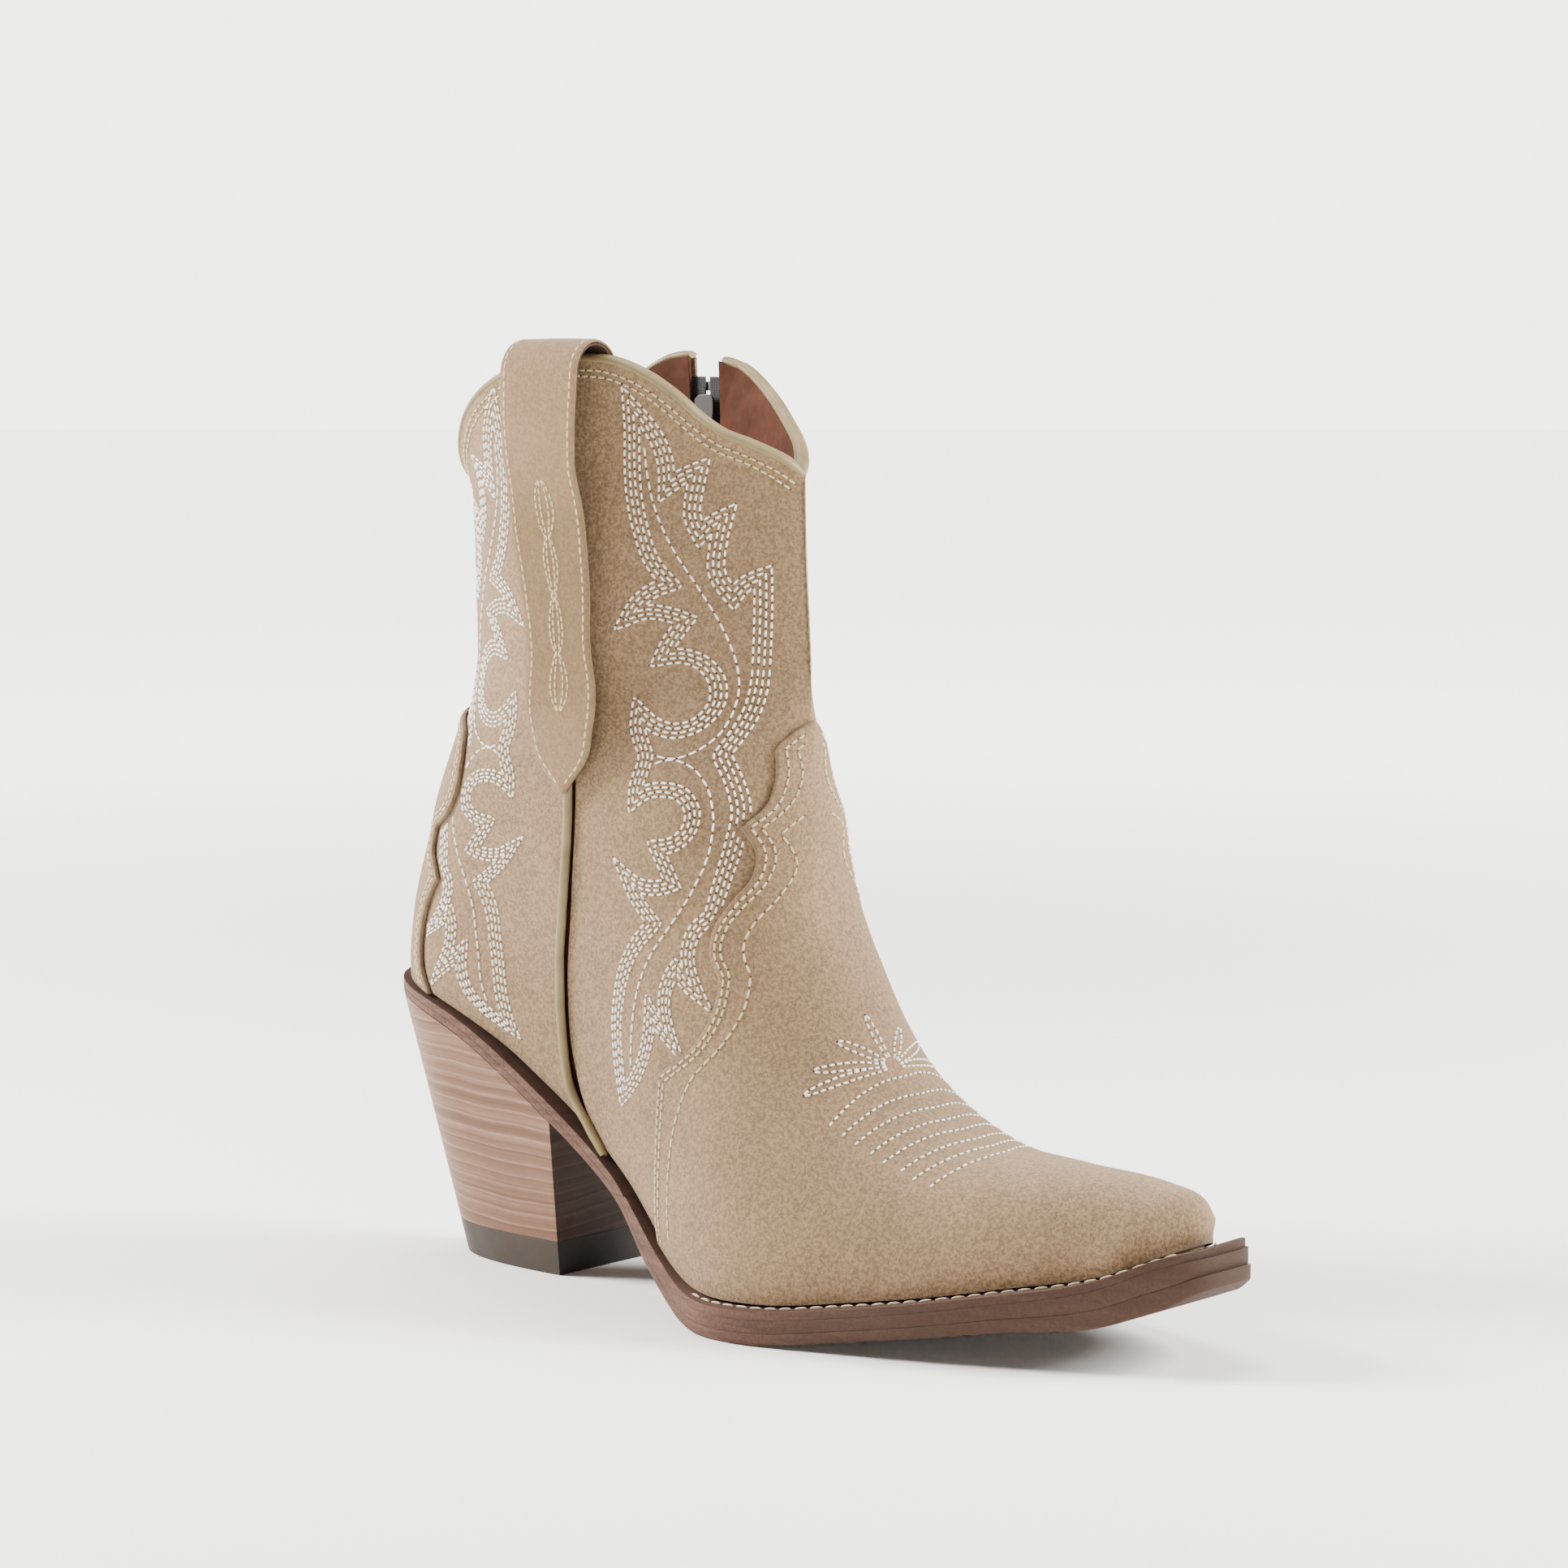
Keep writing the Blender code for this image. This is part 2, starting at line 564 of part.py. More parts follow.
def sole(edge_leather, welt_leather, board, cork, steel, sock):
    back, tip = SOLE_BACK + 0.05, SOLE_TIP - 0.05
    slab("outsole", back, tip, sole_half, lambda x: layer_tops(x)[2],
         lambda x: layer_tops(x)[3], edge_leather)
    slab("midsole", back, tip, sole_half, lambda x: layer_tops(x)[1],
         lambda x: layer_tops(x)[2] + 0.3, edge_leather)

    # The welt runs round the forepart only, as a strip
    width = 9.0
    x = np.array(stations(WELT_START, tip))
    outer = [np.array((v, spine(v) - sole_half(v), 0)) for v in x]
    outer += [np.array((v, spine(v) + sole_half(v), 0)) for v in x[::-1]]
    inner = []
    for v in x:
        inset = min(v, SOLE_TIP - 12)
        inner.append(np.array((inset, spine(inset) - max(sole_half(inset, width), 1.5), 0)))
    inner += [np.array((p[0], 2 * spine(p[0]) - p[1], 0)) for p in inner[::-1]]
    rings = []
    for out_point, in_point in zip(outer, inner):
        ring = []
        for place, high in ((out_point, 0), (in_point, 0), (in_point, 1), (out_point, 1)):
            top, midsole_top, _, _ = layer_tops(place[0])
            ring.append((place[0], place[1], top if high else midsole_top + 0.3))
        rings.append(ring)
    loft("welt", rings, welt_leather)

    # Inside the upper: filler and shank, then the insole board, then the sock liner
    def above(rise):
        return lambda x: feather_z(x) + rise
    slab("insole_board", -27, 199, inner_half, above(INSOLE[1]), above(INSOLE[0]), board)
    slab("sock_liner", -26.5, 198.5, lambda x: inner_half(x) - 0.3, above(SOCK[1]), above(SOCK[0]), sock)
    slab("bottom_filler", 98, 190, lambda x: inner_half(x) - 2, above(FILLER[1]), above(FILLER[0]), cork)
    rings = []
    for x in stations(-22, 94):
        half = 6.5
        low, high = above(FILLER[0])(x), above(FILLER[1])(x)
        rings.append([(x, -half, low), (x, half, low), (x, half, high), (x, -half, high)])
    loft("steel_shank", rings, steel)


def seat_z(x):
    return layer_tops(x)[3] - GAP


def heel_outline(level):
    """The heel's outline at a height: a D with its straight side at the breast."""
    turns = np.linspace(-np.pi / 2, np.pi / 2, 23)
    ring = []
    for turn in turns:
        back = np.sign(np.cos(turn)) * abs(np.cos(turn)) ** (2 / HEEL_ROUNDNESS)
        flank = np.sign(np.sin(turn)) * abs(np.sin(turn)) ** (2 / HEEL_ROUNDNESS)
        foot = np.array((HEEL_BREAST[0] + (HEEL_BACK[0] - HEEL_BREAST[0]) * back,
                         HEEL_HALF[0] * flank))
        head = np.array((HEEL_BREAST[1] + (HEEL_BACK[1] - HEEL_BREAST[1]) * back,
                         HEEL_HALF[1] * flank))
        share = level / float(seat_z(head[0]))
        place = foot + (head - foot) * share
        ring.append((place[0], place[1], level))
    return ring


def cutter(name, points, faces):
    made = add_object(name, points, faces, bpy.data.materials["steel"])
    made.hide_render = True
    made.display_type = "WIRE"
    return made


def cut(target, tool, operation):
    change = target.modifiers.new(tool.name, "BOOLEAN")
    change.operation = operation
    change.object = tool
    change.solver = "EXACT"


def fastener(name, x, y, top, length, radius, head, mat, sides=10, grow=0.0):
    """A pin with a countersunk head, its axis upright."""
    rings = []
    profile = [(top - length - grow, radius * 0.55 + grow), (top - length + 3, radius + grow),
               (top - 1.6, radius + grow), (top - 0.4, head + grow), (top + grow * 12, head + grow)]
    for z, r in profile:
        ring = []
        for k in range(sides):
            turn = 2 * math.pi * k / sides
            ring.append((x + r * math.cos(turn), y + r * math.sin(turn), z))
        rings.append(ring)
    return loft(name, rings, mat, origin=(x, y, top))


def heel(stack_leather, rubber, steel):
    loft("top_lift", [heel_outline(0), heel_outline(TOP_LIFT)], rubber)

    x = np.linspace(-60, 60, 41)
    outline = [(v, float(seat_z(v))) for v in x] + [(60, -20), (-60, -20)]
    count = len(outline)
    points = [(px, -60, pz) for px, pz in outline] + [(px, 60, pz) for px, pz in outline]
    faces = [tuple(range(count)), tuple(range(count, 2 * count))[::-1]]
    for i in range(count):
        k = (i + 1) % count
        faces.append((i, i + count, k + count, k))
    under_seat = cutter("under_seat", points, faces)

    # Screw and nails, through the insole and sole layers into the stack
    pins = [("heel_screw", 0.0, 0.0, 34.0, 2.4, 4.2)]
    for number, (px, py) in enumerate(((-24, 0), (-13, -13), (-13, 13), (17, -14), (17, 14)), 1):
        pins.append((f"heel_nail_{number}", px, py, 22.0, 1.1, 2.0))
    holes = []
    for name, px, py, length, radius, head in pins:
        top = float(min(feather_z(px - head), feather_z(px + head))) + INSOLE[1] - 0.2
        fastener(name, px, py, top, length, radius, head, steel)
        hole = fastener(name + "_hole", px, py, top, length, radius, head, steel, grow=0.4)
        hole.hide_render = True
        hole.display_type = "WIRE"
        holes.append((hole, px, top - length))

    bottom = TOP_LIFT + 0.3
    number = 0
    highest = float(seat_z(HEEL_BACK[1] + 1))
    while bottom < highest - 2.0:
        top = min(bottom + LIFT_THICKNESS - 0.3, highest + 20)
        number += 1
        if highest - top < 2.5:
            top = highest + 6
        lift = loft(f"heel_lift_{number:02d}", [heel_outline(bottom), heel_outline(top)],
                    stack_leather)
        cut(lift, under_seat, "INTERSECT")
        for hole, px, low in holes:
            if top > low - 1 and float(seat_z(px)) > bottom:
                cut(lift, hole, "DIFFERENCE")
        bottom = top + 0.3
    for name in ("outsole", "midsole", "insole_board", "steel_shank"):
        for hole, _, _ in holes:
            if name != "steel_shank" or hole.name.startswith("heel_screw"):
                cut(bpy.data.objects[name], hole, "DIFFERENCE")


# ---------------------------------------------------------------- zip
def zip_line():
    """The straight middle line of the zip: its top, its bottom and its outward direction."""
    ends = []
    for x, z in (ZIP_TOP, ZIP_BOTTOM):
        place, _ = surface(x, z, 1)
        ends.append(place[0])
    top, bottom = ends
    down = (bottom - top) / np.linalg.norm(bottom - top)
    out = np.array((0, 1.0, 0))
    out -= down * np.dot(out, down)
    out /= np.linalg.norm(out)
    return top, bottom, down, out


def block(name, middle, axes, sizes, mat, bevel=0.0, **place):
    """A box from its middle, three axes and full sizes."""
    points = []
    for i in (-1, 1):
        for j in (-1, 1):
            for k in (-1, 1):
                corner = np.array(middle, float)
                for sign, axis, size in zip((i, j, k), axes, sizes):
                    corner = corner + axis * sign * size / 2
                points.append(corner)
    faces = [(0, 1, 3, 2), (4, 6, 7, 5), (0, 4, 5, 1), (2, 3, 7, 6), (0, 2, 6, 4), (1, 5, 7, 3)]
    made = add_object(name, points, faces, mat, **place)
    if bevel:
        change = made.modifiers.new("edges", "BEVEL")
        change.width = bevel * MM
        change.segments = 2
    return made


def zip_hardware(metal):
    top, bottom, down, out = zip_line()
    across = np.cross(down, out)
    if across[0] < 0:
        across = -across
    length = float(np.linalg.norm(bottom - top))
    base = TEETH_DEPTH
    axes = (across, out, down)

    def at(side, depth, along):
        return top + across * side + out * depth + down * along

    middle_depth = base + TOOTH_DEPTH / 2
    offset = TAPE_GAP + TOOTH_WIDTH / 2
    for name, side in (("front", 1), ("back", -1)):
        block(f"zip_teeth_{name}", at(side * offset, middle_depth, length / 2), axes,
              (TOOTH_WIDTH, TOOTH_DEPTH, length - 5), metal)
        block(f"zip_top_stop_{name}", at(side * offset, middle_depth, 0.9), axes,
              (TOOTH_WIDTH, TOOTH_DEPTH + 0.4, 2.4), metal, 0.2)
    block("zip_bottom_stop", at(0, middle_depth, length - 0.6), axes, (5.6, TOOTH_DEPTH + 0.4, 3.0),
          metal, 0.3)

    # Slider: a front plate, a thin post between the tapes and a back plate
    width, height = SLIDER_SIZE
    along = 3.0 + height / 2 + GAP
    front = base + TOOTH_DEPTH + 0.45
    back = base - 2.35
    rail = [(-width / 2, front), (-width / 2, front + 1.1), (-1.6, front + 1.1), (-1.6, front + 2.6),
            (1.6, front + 2.6), (1.6, front + 1.1), (width / 2, front + 1.1), (width / 2, front),
            (0.4, front), (0.4, back), (width / 2 - 1, back), (width / 2 - 1, back - 0.8),
            (-width / 2 + 1, back - 0.8), (-width / 2 + 1, back), (-0.4, back), (-0.4, front)]
    rings = []
    for share in (-0.5, 0.5):
        rings.append([at(side, depth, along + share * height) for side, depth in rail])
    loft("zip_slider", rings, metal, origin=at(0, front, along))

    # Pull: an eye in front of the slider's bridge and a tab hanging from it
    eye = at(0, front + 3.5, along - 2.0)
    pivot = bpy.data.objects.new("zip_pull_pivot", None)
    pivot.location = eye * MM
    bpy.context.scene.collection.objects.link(pivot)
    bpy.context.view_layer.update()
    rings = []
    # Its upper end stays short of the bridge as it swings about the eye
    stations_down = ((-0.5, 1.7, 0.9), (2.0, 1.9, 1.1), (4.0, 2.4, 1.1), (PULL_LENGTH - 4, 3.0, 1.2),
                     (PULL_LENGTH - 1, 2.6, 1.2), (PULL_LENGTH, 1.6, 1.0))
    for along_pull, half, thick in stations_down:
        ring = []
        for side, depth in ((-half, -thick / 2), (half, -thick / 2), (half, thick / 2),
                            (-half, thick / 2)):
            ring.append(eye + across * side + out * depth + down * along_pull)
        rings.append(ring)
    loft("zip_pull", rings, metal, parent=pivot, origin=eye)


# ---------------------------------------------------------------- build
def main():
    for old in list(bpy.data.objects):
        bpy.data.objects.remove(old, do_unlink=True)
    suede = material("suede", (0.46, 0.35, 0.26), 0.95)
    piping = material("piping_leather", (0.48, 0.38, 0.24), 0.55)
    lining = material("lining_leather", (0.38, 0.16, 0.09), 0.6)
    stack = material("stacked_leather", (0.36, 0.23, 0.16), 0.5)
    edge = material("sole_leather", (0.26, 0.15, 0.1), 0.5)
    rubber = material("top_lift_rubber", (0.04, 0.033, 0.028), 0.6)
    board = material("fibre_board", (0.42, 0.33, 0.22), 0.9)
    cork = material("cork", (0.4, 0.24, 0.13), 0.95)
    steel = material("steel", (0.55, 0.55, 0.56), 0.35, 1.0)
    gunmetal = material("gunmetal", (0.16, 0.15, 0.14), 0.35, 1.0)
    tape = material("zip_tape", (0.05, 0.042, 0.035), 0.9)

    upper(suede, piping, lining, board)
    zip_tapes(tape)
    pipings(piping)
    pull_strap(suede)
    sole(edge, edge, board, cork, steel, lining)
    heel(stack, rubber, steel)
    zip_hardware(gunmetal)


main()
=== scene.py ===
"""Suede western ankle boot, right foot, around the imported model.

The boot's surface is described once, as a side view with a half width at each (x, z), and every
leather piece, seam and stitch is laid on it.  Tables are in millimetres, in the model's frame:
+X to the toe, +Y to the inner side of the leg, +Z up, origin on the ground under the heel.
"""
import math

import bpy
import numpy as np
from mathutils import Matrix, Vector
from mathutils.bvhtree import BVHTree


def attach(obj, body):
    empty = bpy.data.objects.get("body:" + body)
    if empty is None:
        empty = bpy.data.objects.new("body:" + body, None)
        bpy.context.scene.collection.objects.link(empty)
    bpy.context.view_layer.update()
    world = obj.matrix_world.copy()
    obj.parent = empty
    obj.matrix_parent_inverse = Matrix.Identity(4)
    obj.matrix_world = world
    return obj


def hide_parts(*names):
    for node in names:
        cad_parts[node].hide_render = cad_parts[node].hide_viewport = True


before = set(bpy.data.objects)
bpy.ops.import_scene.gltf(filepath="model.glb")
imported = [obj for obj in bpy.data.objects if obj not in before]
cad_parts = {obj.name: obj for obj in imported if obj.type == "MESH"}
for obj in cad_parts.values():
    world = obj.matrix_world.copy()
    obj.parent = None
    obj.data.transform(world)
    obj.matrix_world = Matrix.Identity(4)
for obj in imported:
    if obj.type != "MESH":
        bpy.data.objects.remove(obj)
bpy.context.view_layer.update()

MM = 0.001
BODY = "boot"
RANDOM = np.random.default_rng(7)

# ---------------------------------------------------------------- the boot's surface
FRONT_LINE = [(212, 29.6), (214, 34.2), (211, 40), (199, 43.5), (174, 45.5), (149, 48.5), (128, 60),
              (110, 88), (102, 106), (97, 133), (96.5, 165), (95, 193), (94.6, 211.5)]
BACK_LINE = [(-39, 77.5), (-38.5, 84.5), (-36.5, 96), (-26, 124), (-18.5, 156), (-18, 188),
             (-19, 207)]
TOPLINE = [(-19, 207), (6.5, 231.5), (30, 240), (45, 241.2), (57, 239.8), (65, 235.6), (71, 230.2),
           (75, 225.6), (79, 222), (85, 218.8), (91, 214.8), (94.6, 211.5)]
INNER_TOPLINE = [(-19, 207), (6.5, 233.5), (21, 242), (34, 242.4), (46, 239), (58, 233.4), (75, 224.2),
                 (87, 217.4), (94.6, 211.5)]
FEATHER = [(-39, 77.5), (-2, 68), (25, 51.5), (53, 32), (85, 11.5), (112, 9.3), (140, 12.5),
           (172, 18), (200, 24.3), (212, 29.6), (224, 32.4)]
FOOT_WIDTH = [(-39, 26), (-2, 29), (16, 27), (44, 26.5), (71, 34), (103, 45), (136, 39.5),
              (163, 32), (191, 20.5), (205, 15.8), (212, 9.2)]
SHAFT_WIDTH = [(64, 31), (101, 32.2), (140, 33.2), (180, 34.2), (212, 34.8), (240, 35.1)]
TOE_SWING = 6.7
SWING_START = 71.0
SWING_LENGTH = 138.0

# Seams, as (x, z) points in the side view
SIDE_SEAM = [(32, 250), (37, 190), (41, 132), (38, 103), (33, 80), (32.5, 65), (36, 50), (44, 30)]
PIPED_SEAM = [(41.3, 137), (41, 127), (40, 115), (38, 103), (34, 86), (32.5, 68), (35, 52), (41, 42.5),
              (46, 36)]
# Scalloped edges: smooth runs that meet in points
VAMP_EDGE = [[(74, -6), (72, 19), (71.5, 41), (71.5, 61.5)],
             [(71.5, 61.5), (78, 65.5), (84, 71), (87.5, 79), (88, 87)],
             [(88, 87), (85.2, 92), (85.5, 99), (89, 106), (92, 111), (92.6, 117), (89, 124.5)],
             [(89, 124.5), (92.5, 129), (93.2, 136), (92, 144)],
             [(92, 144), (96, 150), (104, 156), (125, 162)]]
COUNTER_EDGE = [[(-60, 156), (-30, 151), (-12, 148), (-4, 144.5)],
                [(-4, 144.5), (-1.2, 137), (-1.4, 129), (-6, 122), (-13, 118.5)],
                [(-13, 118.5), (-14.8, 112), (-12.5, 108), (-10.5, 104.5)],
                [(-10.5, 104.5), (-16, 97.5), (-19, 90), (-19.6, 82), (-14, 70), (-8, 55)]]

# Depths of the layers below the outer surface, as (outer, inner)
OVERLAY = (0.0, -1.2)
SHAFT = (-1.5, -2.8)
LINING = (-4.2, -5.2)
LAP = 9.0

# Zip on the inner side
ZIP_TOP = (33.0, 236.0)
ZIP_BOTTOM = (39.5, 116.0)
ZIP_SLOT = 5.2
SLOT_END = 0.5
TOOTH_PITCH = 2.2
TOOTH_MIDDLE = 1.275
TOOTH_DEPTH = -1.75
TOOTH_SIZE = (3.25, 1.5, 1.25)
SLIDER_AT = 8.85
EYE = (33.3737, 37.8737, 229.1012)

# Sole
SOLE_WIDTH = [(-42, 26.8), (-2, 29.2), (25, 27.6), (50, 27.8), (75, 36.5), (103, 48.5), (136, 44),
              (163, 37), (191, 26.5), (207, 19.5), (221, 10.5)]
SOLE_BACK = -40.3
SOLE_TIP = 221.0
MIDSOLE_SHORT = 1.2
WELT_SHORT = 2.6
WELT = 2.0
MIDSOLE = (1.6, 2.4, 3.05)
OUTSOLE = (1.5, 2.3, 2.75)
SEAT_CLEARANCE = 0.7
GAP = 0.35
# Across the sole (y), the toe's corners that painted highlights lighten
TOE_CORNER_HIGHLIGHTS = (-3.0, 16.0)

# Heel
TOP_LIFT = 9.6
HEEL_BREAST = (22.8, 29.0)
HEEL_BACK = (-22.8, -40.5)
HEEL_HALF = (17.0, 28.6)
HEEL_ROUNDNESS = 2.5

# Pull strap: centre x, z, half width, stand-off
STRAP = [(41.0, 131.0, 0.8, 0.2), (41.0, 134.0, 3.4, 0.3), (41.3, 140.0, 8.6, 0.6),
         (41.6, 149.0, 11.0, 1.2), (41.6, 157.5, 10.6, 1.5), (41.2, 166.0, 9.4, 1.6),
         (40.8, 183.0, 10.0, 2.6), (39.8, 201.0, 11.0, 4.2), (39.6, 222.0, 12.6, 5.4),
         (40.4, 238.0, 13.2, 5.6)]
STRAP_THICKNESS = 1.6
STRAP_RISE = 247.0
STRAP_INSIDE = 34.0
STRAP_REACH = 7.4

# Stitches, as (pitch, length, radius)
BAND_STITCH = (2.35, 1.62, 0.29)
SINGLE_STITCH = (2.9, 2.1, 0.27)
EDGE_STITCH = (2.45, 1.8, 0.3)
VAMP_STITCH = (2.9, 2.1, 0.3)
TOP_STITCH = (2.3, 1.7, 0.28)
ZIP_STITCH = (2.45, 1.8, 0.28)
PETAL_STITCH = (2.0, 1.3, 0.3)
RIDGE_STITCH = (2.15, 1.2, 0.27)
STRAP_STITCH = (2.5, 1.85, 0.3)
CHAIN_STITCH = (2.0, 1.5, 0.27)
WELT_STITCH = (4.2, 3.3, 0.3)
ON_SHAFT = SHAFT[0] + 0.12
ON_OVERLAY = 0.1

# Camera, walls and lamps: (name, azimuth from the camera, elevation, distance, size, power)
AZIMUTH = 40.44
ELEVATION = 5.44
DISTANCE = 1086.7
TARGET = (86.5, 0.0, 133.8)
LENS = 97.54
WORLD_STRENGTH = 4.4
WALL_LIGHT = 1.0
CEILING_LIGHT = 0.034
LAMPS = [("left", -97, 33, 1.3, (0.4, 0.6), 56),
         ("right", 88, 30, 1.4, (0.5, 0.7), 62),
         ("top", 180, 75, 1.8, (1.0, 1.0), 34)]
LAMP_TARGET = (0.085, 0, 0.12)

COLUMNS = 170
ROWS = 150


# ---------------------------------------------------------------- curves
def tangents(t, values):
    step = np.diff(t)
    slope = np.diff(values, axis=0) / step.reshape(-1, *[1] * (values.ndim - 1))
    weight = (step[:-1] / (step[:-1] + step[1:])).reshape(-1, *[1] * (values.ndim - 1))
    out = np.empty_like(values)
    out[1:-1] = slope[:-1] * (1 - weight) + slope[1:] * weight
    out[0] = 1.5 * slope[0] - 0.5 * out[1] if len(t) > 2 else slope[0]
    out[-1] = 1.5 * slope[-1] - 0.5 * out[-2] if len(t) > 2 else slope[-1]
    return out


def hermite(t, values, at):
    """The smooth curve through the values, read at the parameters in at."""
    slope = tangents(t, values)
    at = np.clip(at, t[0], t[-1])
    k = np.clip(np.searchsorted(t, at, side="right") - 1, 0, len(t) - 2)
    step = t[k + 1] - t[k]
    u = (at - t[k]) / step
    shape = u.shape + (1,) * (values.ndim - 1)
    u = u.reshape(shape)
    step = step.reshape(shape)
    rise = u * u * (3 - 2 * u)
    into = u * (1 - u) * (1 - u)
    out_of = u * u * (u - 1)
    return (1 - rise) * values[k] + rise * values[k + 1] + step * (into * slope[k] + out_of * slope[k + 1])


def chord_of(points):
    return np.concatenate([[0], np.cumsum(np.linalg.norm(np.diff(points, axis=0), axis=1))])


def smooth_line(points, count=None, pitch=0.5):
    """Points along the smooth line through the points, evenly spaced by chord."""
    points = np.array(points, float)
    chord = chord_of(points)
    if count is None:
        count = max(int(chord[-1] / pitch), 2) + 1
    return hermite(chord, points, np.linspace(0, chord[-1], count))


def smooth_function(knots):
    knots = np.array(knots, float)
    return lambda x: hermite(knots[:, 0], knots[:, 1], np.asarray(x, float))


def cusped_line(runs, pitch=0.5):
    """One line through several smooth runs that meet in points."""
    lines = [smooth_line(run, pitch=pitch) for run in runs]
    return np.concatenate([lines[0]] + [line[1:] for line in lines[1:]])


def by_share(line, share):
    length = chord_of(line)
    length /= length[-1]
    return np.stack([np.interp(share, length, line[:, i]) for i in range(line.shape[1])], -1)


def nearest(x, z, line):
    """Distance from each (x, z) to a line, and the share of its length where that is."""
    points = np.stack([x.ravel(), z.ravel()], 1)
    start = line[:-1]
    run = np.diff(line, axis=0)
    length = np.linalg.norm(run, axis=1)
    total = chord_of(line)
    distance = np.empty(len(points))
    share = np.empty(len(points))
    for first in range(0, len(points), 8000):
        some = points[first:first + 8000]
        along = ((some[:, None] - start) * run).sum(2) / length**2
        along = np.clip(along, 0, 1)
        gap = some[:, None] - start - along[:, :, None] * run
        far = (gap**2).sum(2)
        k = far.argmin(1)
        row = np.arange(len(some))
        distance[first:first + 8000] = np.sqrt(far[row, k])
        share[first:first + 8000] = (total[k] + along[row, k] * length[k]) / total[-1]
    return distance.reshape(x.shape), share.reshape(x.shape)


def side_of(x, z, line):
    """Signed distance of points from an open line; positive on its right-hand side."""
    distance, _ = nearest(x, z, line)
    ends = np.array([line[0], *line, line[-1]])
    ends[0] += (line[0] - line[1]) / np.linalg.norm(line[0] - line[1]) * 1500
    ends[-1] += (line[-1] - line[-2]) / np.linalg.norm(line[-1] - line[-2]) * 1500
    crossings = np.zeros(x.shape, int)
    for (ax, az), (bx, bz) in zip(ends[:-1], ends[1:]):
        spans = (az > z) != (bz > z)
        at = ax + (z - az) / (bz - az if bz != az else 1) * (bx - ax)
        crossings += spans & (at < x)
    return np.where(crossings % 2 == 1, distance, -distance)


def bulge(t, power):
    t = np.clip(t, 0, 1)
    return (1 - (1 - t) ** power) ** (1 / power)


def smoothstep(t):
    t = np.clip(t, 0, 1)
    return t * t * (3 - 2 * t)


# ---------------------------------------------------------------- surface
FRONT = smooth_line(FRONT_LINE, 160)
BACK = smooth_line(BACK_LINE, 80)
feather_z = smooth_function(FEATHER)
foot_width = smooth_function(FOOT_WIDTH)
shaft_width = smooth_function(SHAFT_WIDTH)
front_x = smooth_function([(z, x) for x, z in FRONT_LINE[7:]])
back_x = smooth_function([(z, x) for x, z in BACK_LINE])
toe_radius = smooth_function([(0, 8.3), (0.06, 14.7), (0.12, 22), (0.3, 33), (0.45, 38.6),
                              (0.6, 46), (1, 46)])


def spine(x):
    return TOE_SWING * np.clip((x - SWING_START) / SWING_LENGTH, 0, 2) ** 1.5


def half_width(x, z):
    """Half width of the boot at a point of its side view."""
    to_front, share = nearest(x, z, FRONT)
    to_back, _ = nearest(x, z, BACK)
    chord = (front_x(z) - back_x(z)) / 2
    upper = smoothstep((z - 120) / 46)
    front_round = toe_radius(share) * (1 - upper) + chord * upper
    back_round = 31.3 * (1 - upper) + chord * upper
    height = z - feather_z(x)
    shaft = smoothstep((height - 9) / 64)
    tuck = 0.03 + 0.03 * smoothstep((x + 6) / 20) * smoothstep((78 - x) / 24)
    foot = foot_width(x) * (1 - tuck * (1 - np.clip(height / 11, 0, 1)) ** 2)
    width = foot * (1 - shaft) + shaft_width(z) * shaft
    front_power = 2.2 * (1 - upper) + 1.25 * upper
    back_power = 2.1 * (1 - upper) + 1.8 * upper
    return width * bulge(to_front / front_round, front_power) * bulge(to_back / back_round, back_power)


def surface(x, z, side):
    """Points on the boot's side, and the surface's normals there."""
    x = np.atleast_1d(np.asarray(x, float))
    z = np.atleast_1d(np.asarray(z, float))
    step = 0.7
    y = spine(x) + side * half_width(x, z)
    dy_dx = (spine(x + step) - spine(x - step)
             + side * (half_width(x + step, z) - half_width(x - step, z))) / (2 * step)
    dy_dz = side * (half_width(x, z + step) - half_width(x, z - step)) / (2 * step)
    normal = side * np.stack([-dy_dx, np.ones_like(x), -dy_dz], 1)
    normal /= np.linalg.norm(normal, axis=1)[:, None]
    return np.stack([x, y, z], 1), normal


def ring_grid():
    """Points and outward normals around the whole boot: outer side, then inner side."""
    s = (1 - np.cos(np.pi * np.linspace(0, 1, COLUMNS + 1))) / 2
    s = 0.75 * s + 0.25 * np.linspace(0, 1, COLUMNS + 1)
    t = np.linspace(0, 1, ROWS + 1)
    bottom_x = BACK_LINE[0][0] + (FRONT_LINE[0][0] - BACK_LINE[0][0]) * s
    bottom = np.stack([bottom_x, feather_z(bottom_x)], 1)
    back = by_share(BACK, t)[:, None]
    front = by_share(FRONT, t)[:, None]
    t = t[:, None, None]
    walls = []
    for side, edge in ((-1, TOPLINE), (1, INNER_TOPLINE)):
        top_x = edge[0][0] + (edge[-1][0] - edge[0][0]) * s
        top = np.stack([top_x, np.interp(top_x, *smooth_line(edge, 400).T)], 1)
        u = s[None, :, None]
        corners = ((1 - u) * (1 - t) * bottom[0] + u * (1 - t) * bottom[-1]
                   + (1 - u) * t * top[0] + u * t * top[-1])
        plane = (1 - t) * bottom + t * top + (1 - u) * back + u * front - corners
        x, z = plane[:, :, 0], plane[:, :, 1]
        width = half_width(x, z)
        width[:, 0] = 0
        width[:, -1] = 0
        walls.append(np.stack([x, spine(x) + side * width, z], 2))
    points = np.concatenate([walls[0], walls[1][:, -2:0:-1]], 1)
    around = np.roll(points, -1, 1) - np.roll(points, 1, 1)
    up = np.gradient(points, axis=0)
    normals = np.cross(around, up)
    normals /= np.linalg.norm(normals, axis=2)[:, :, None]
    return points, normals


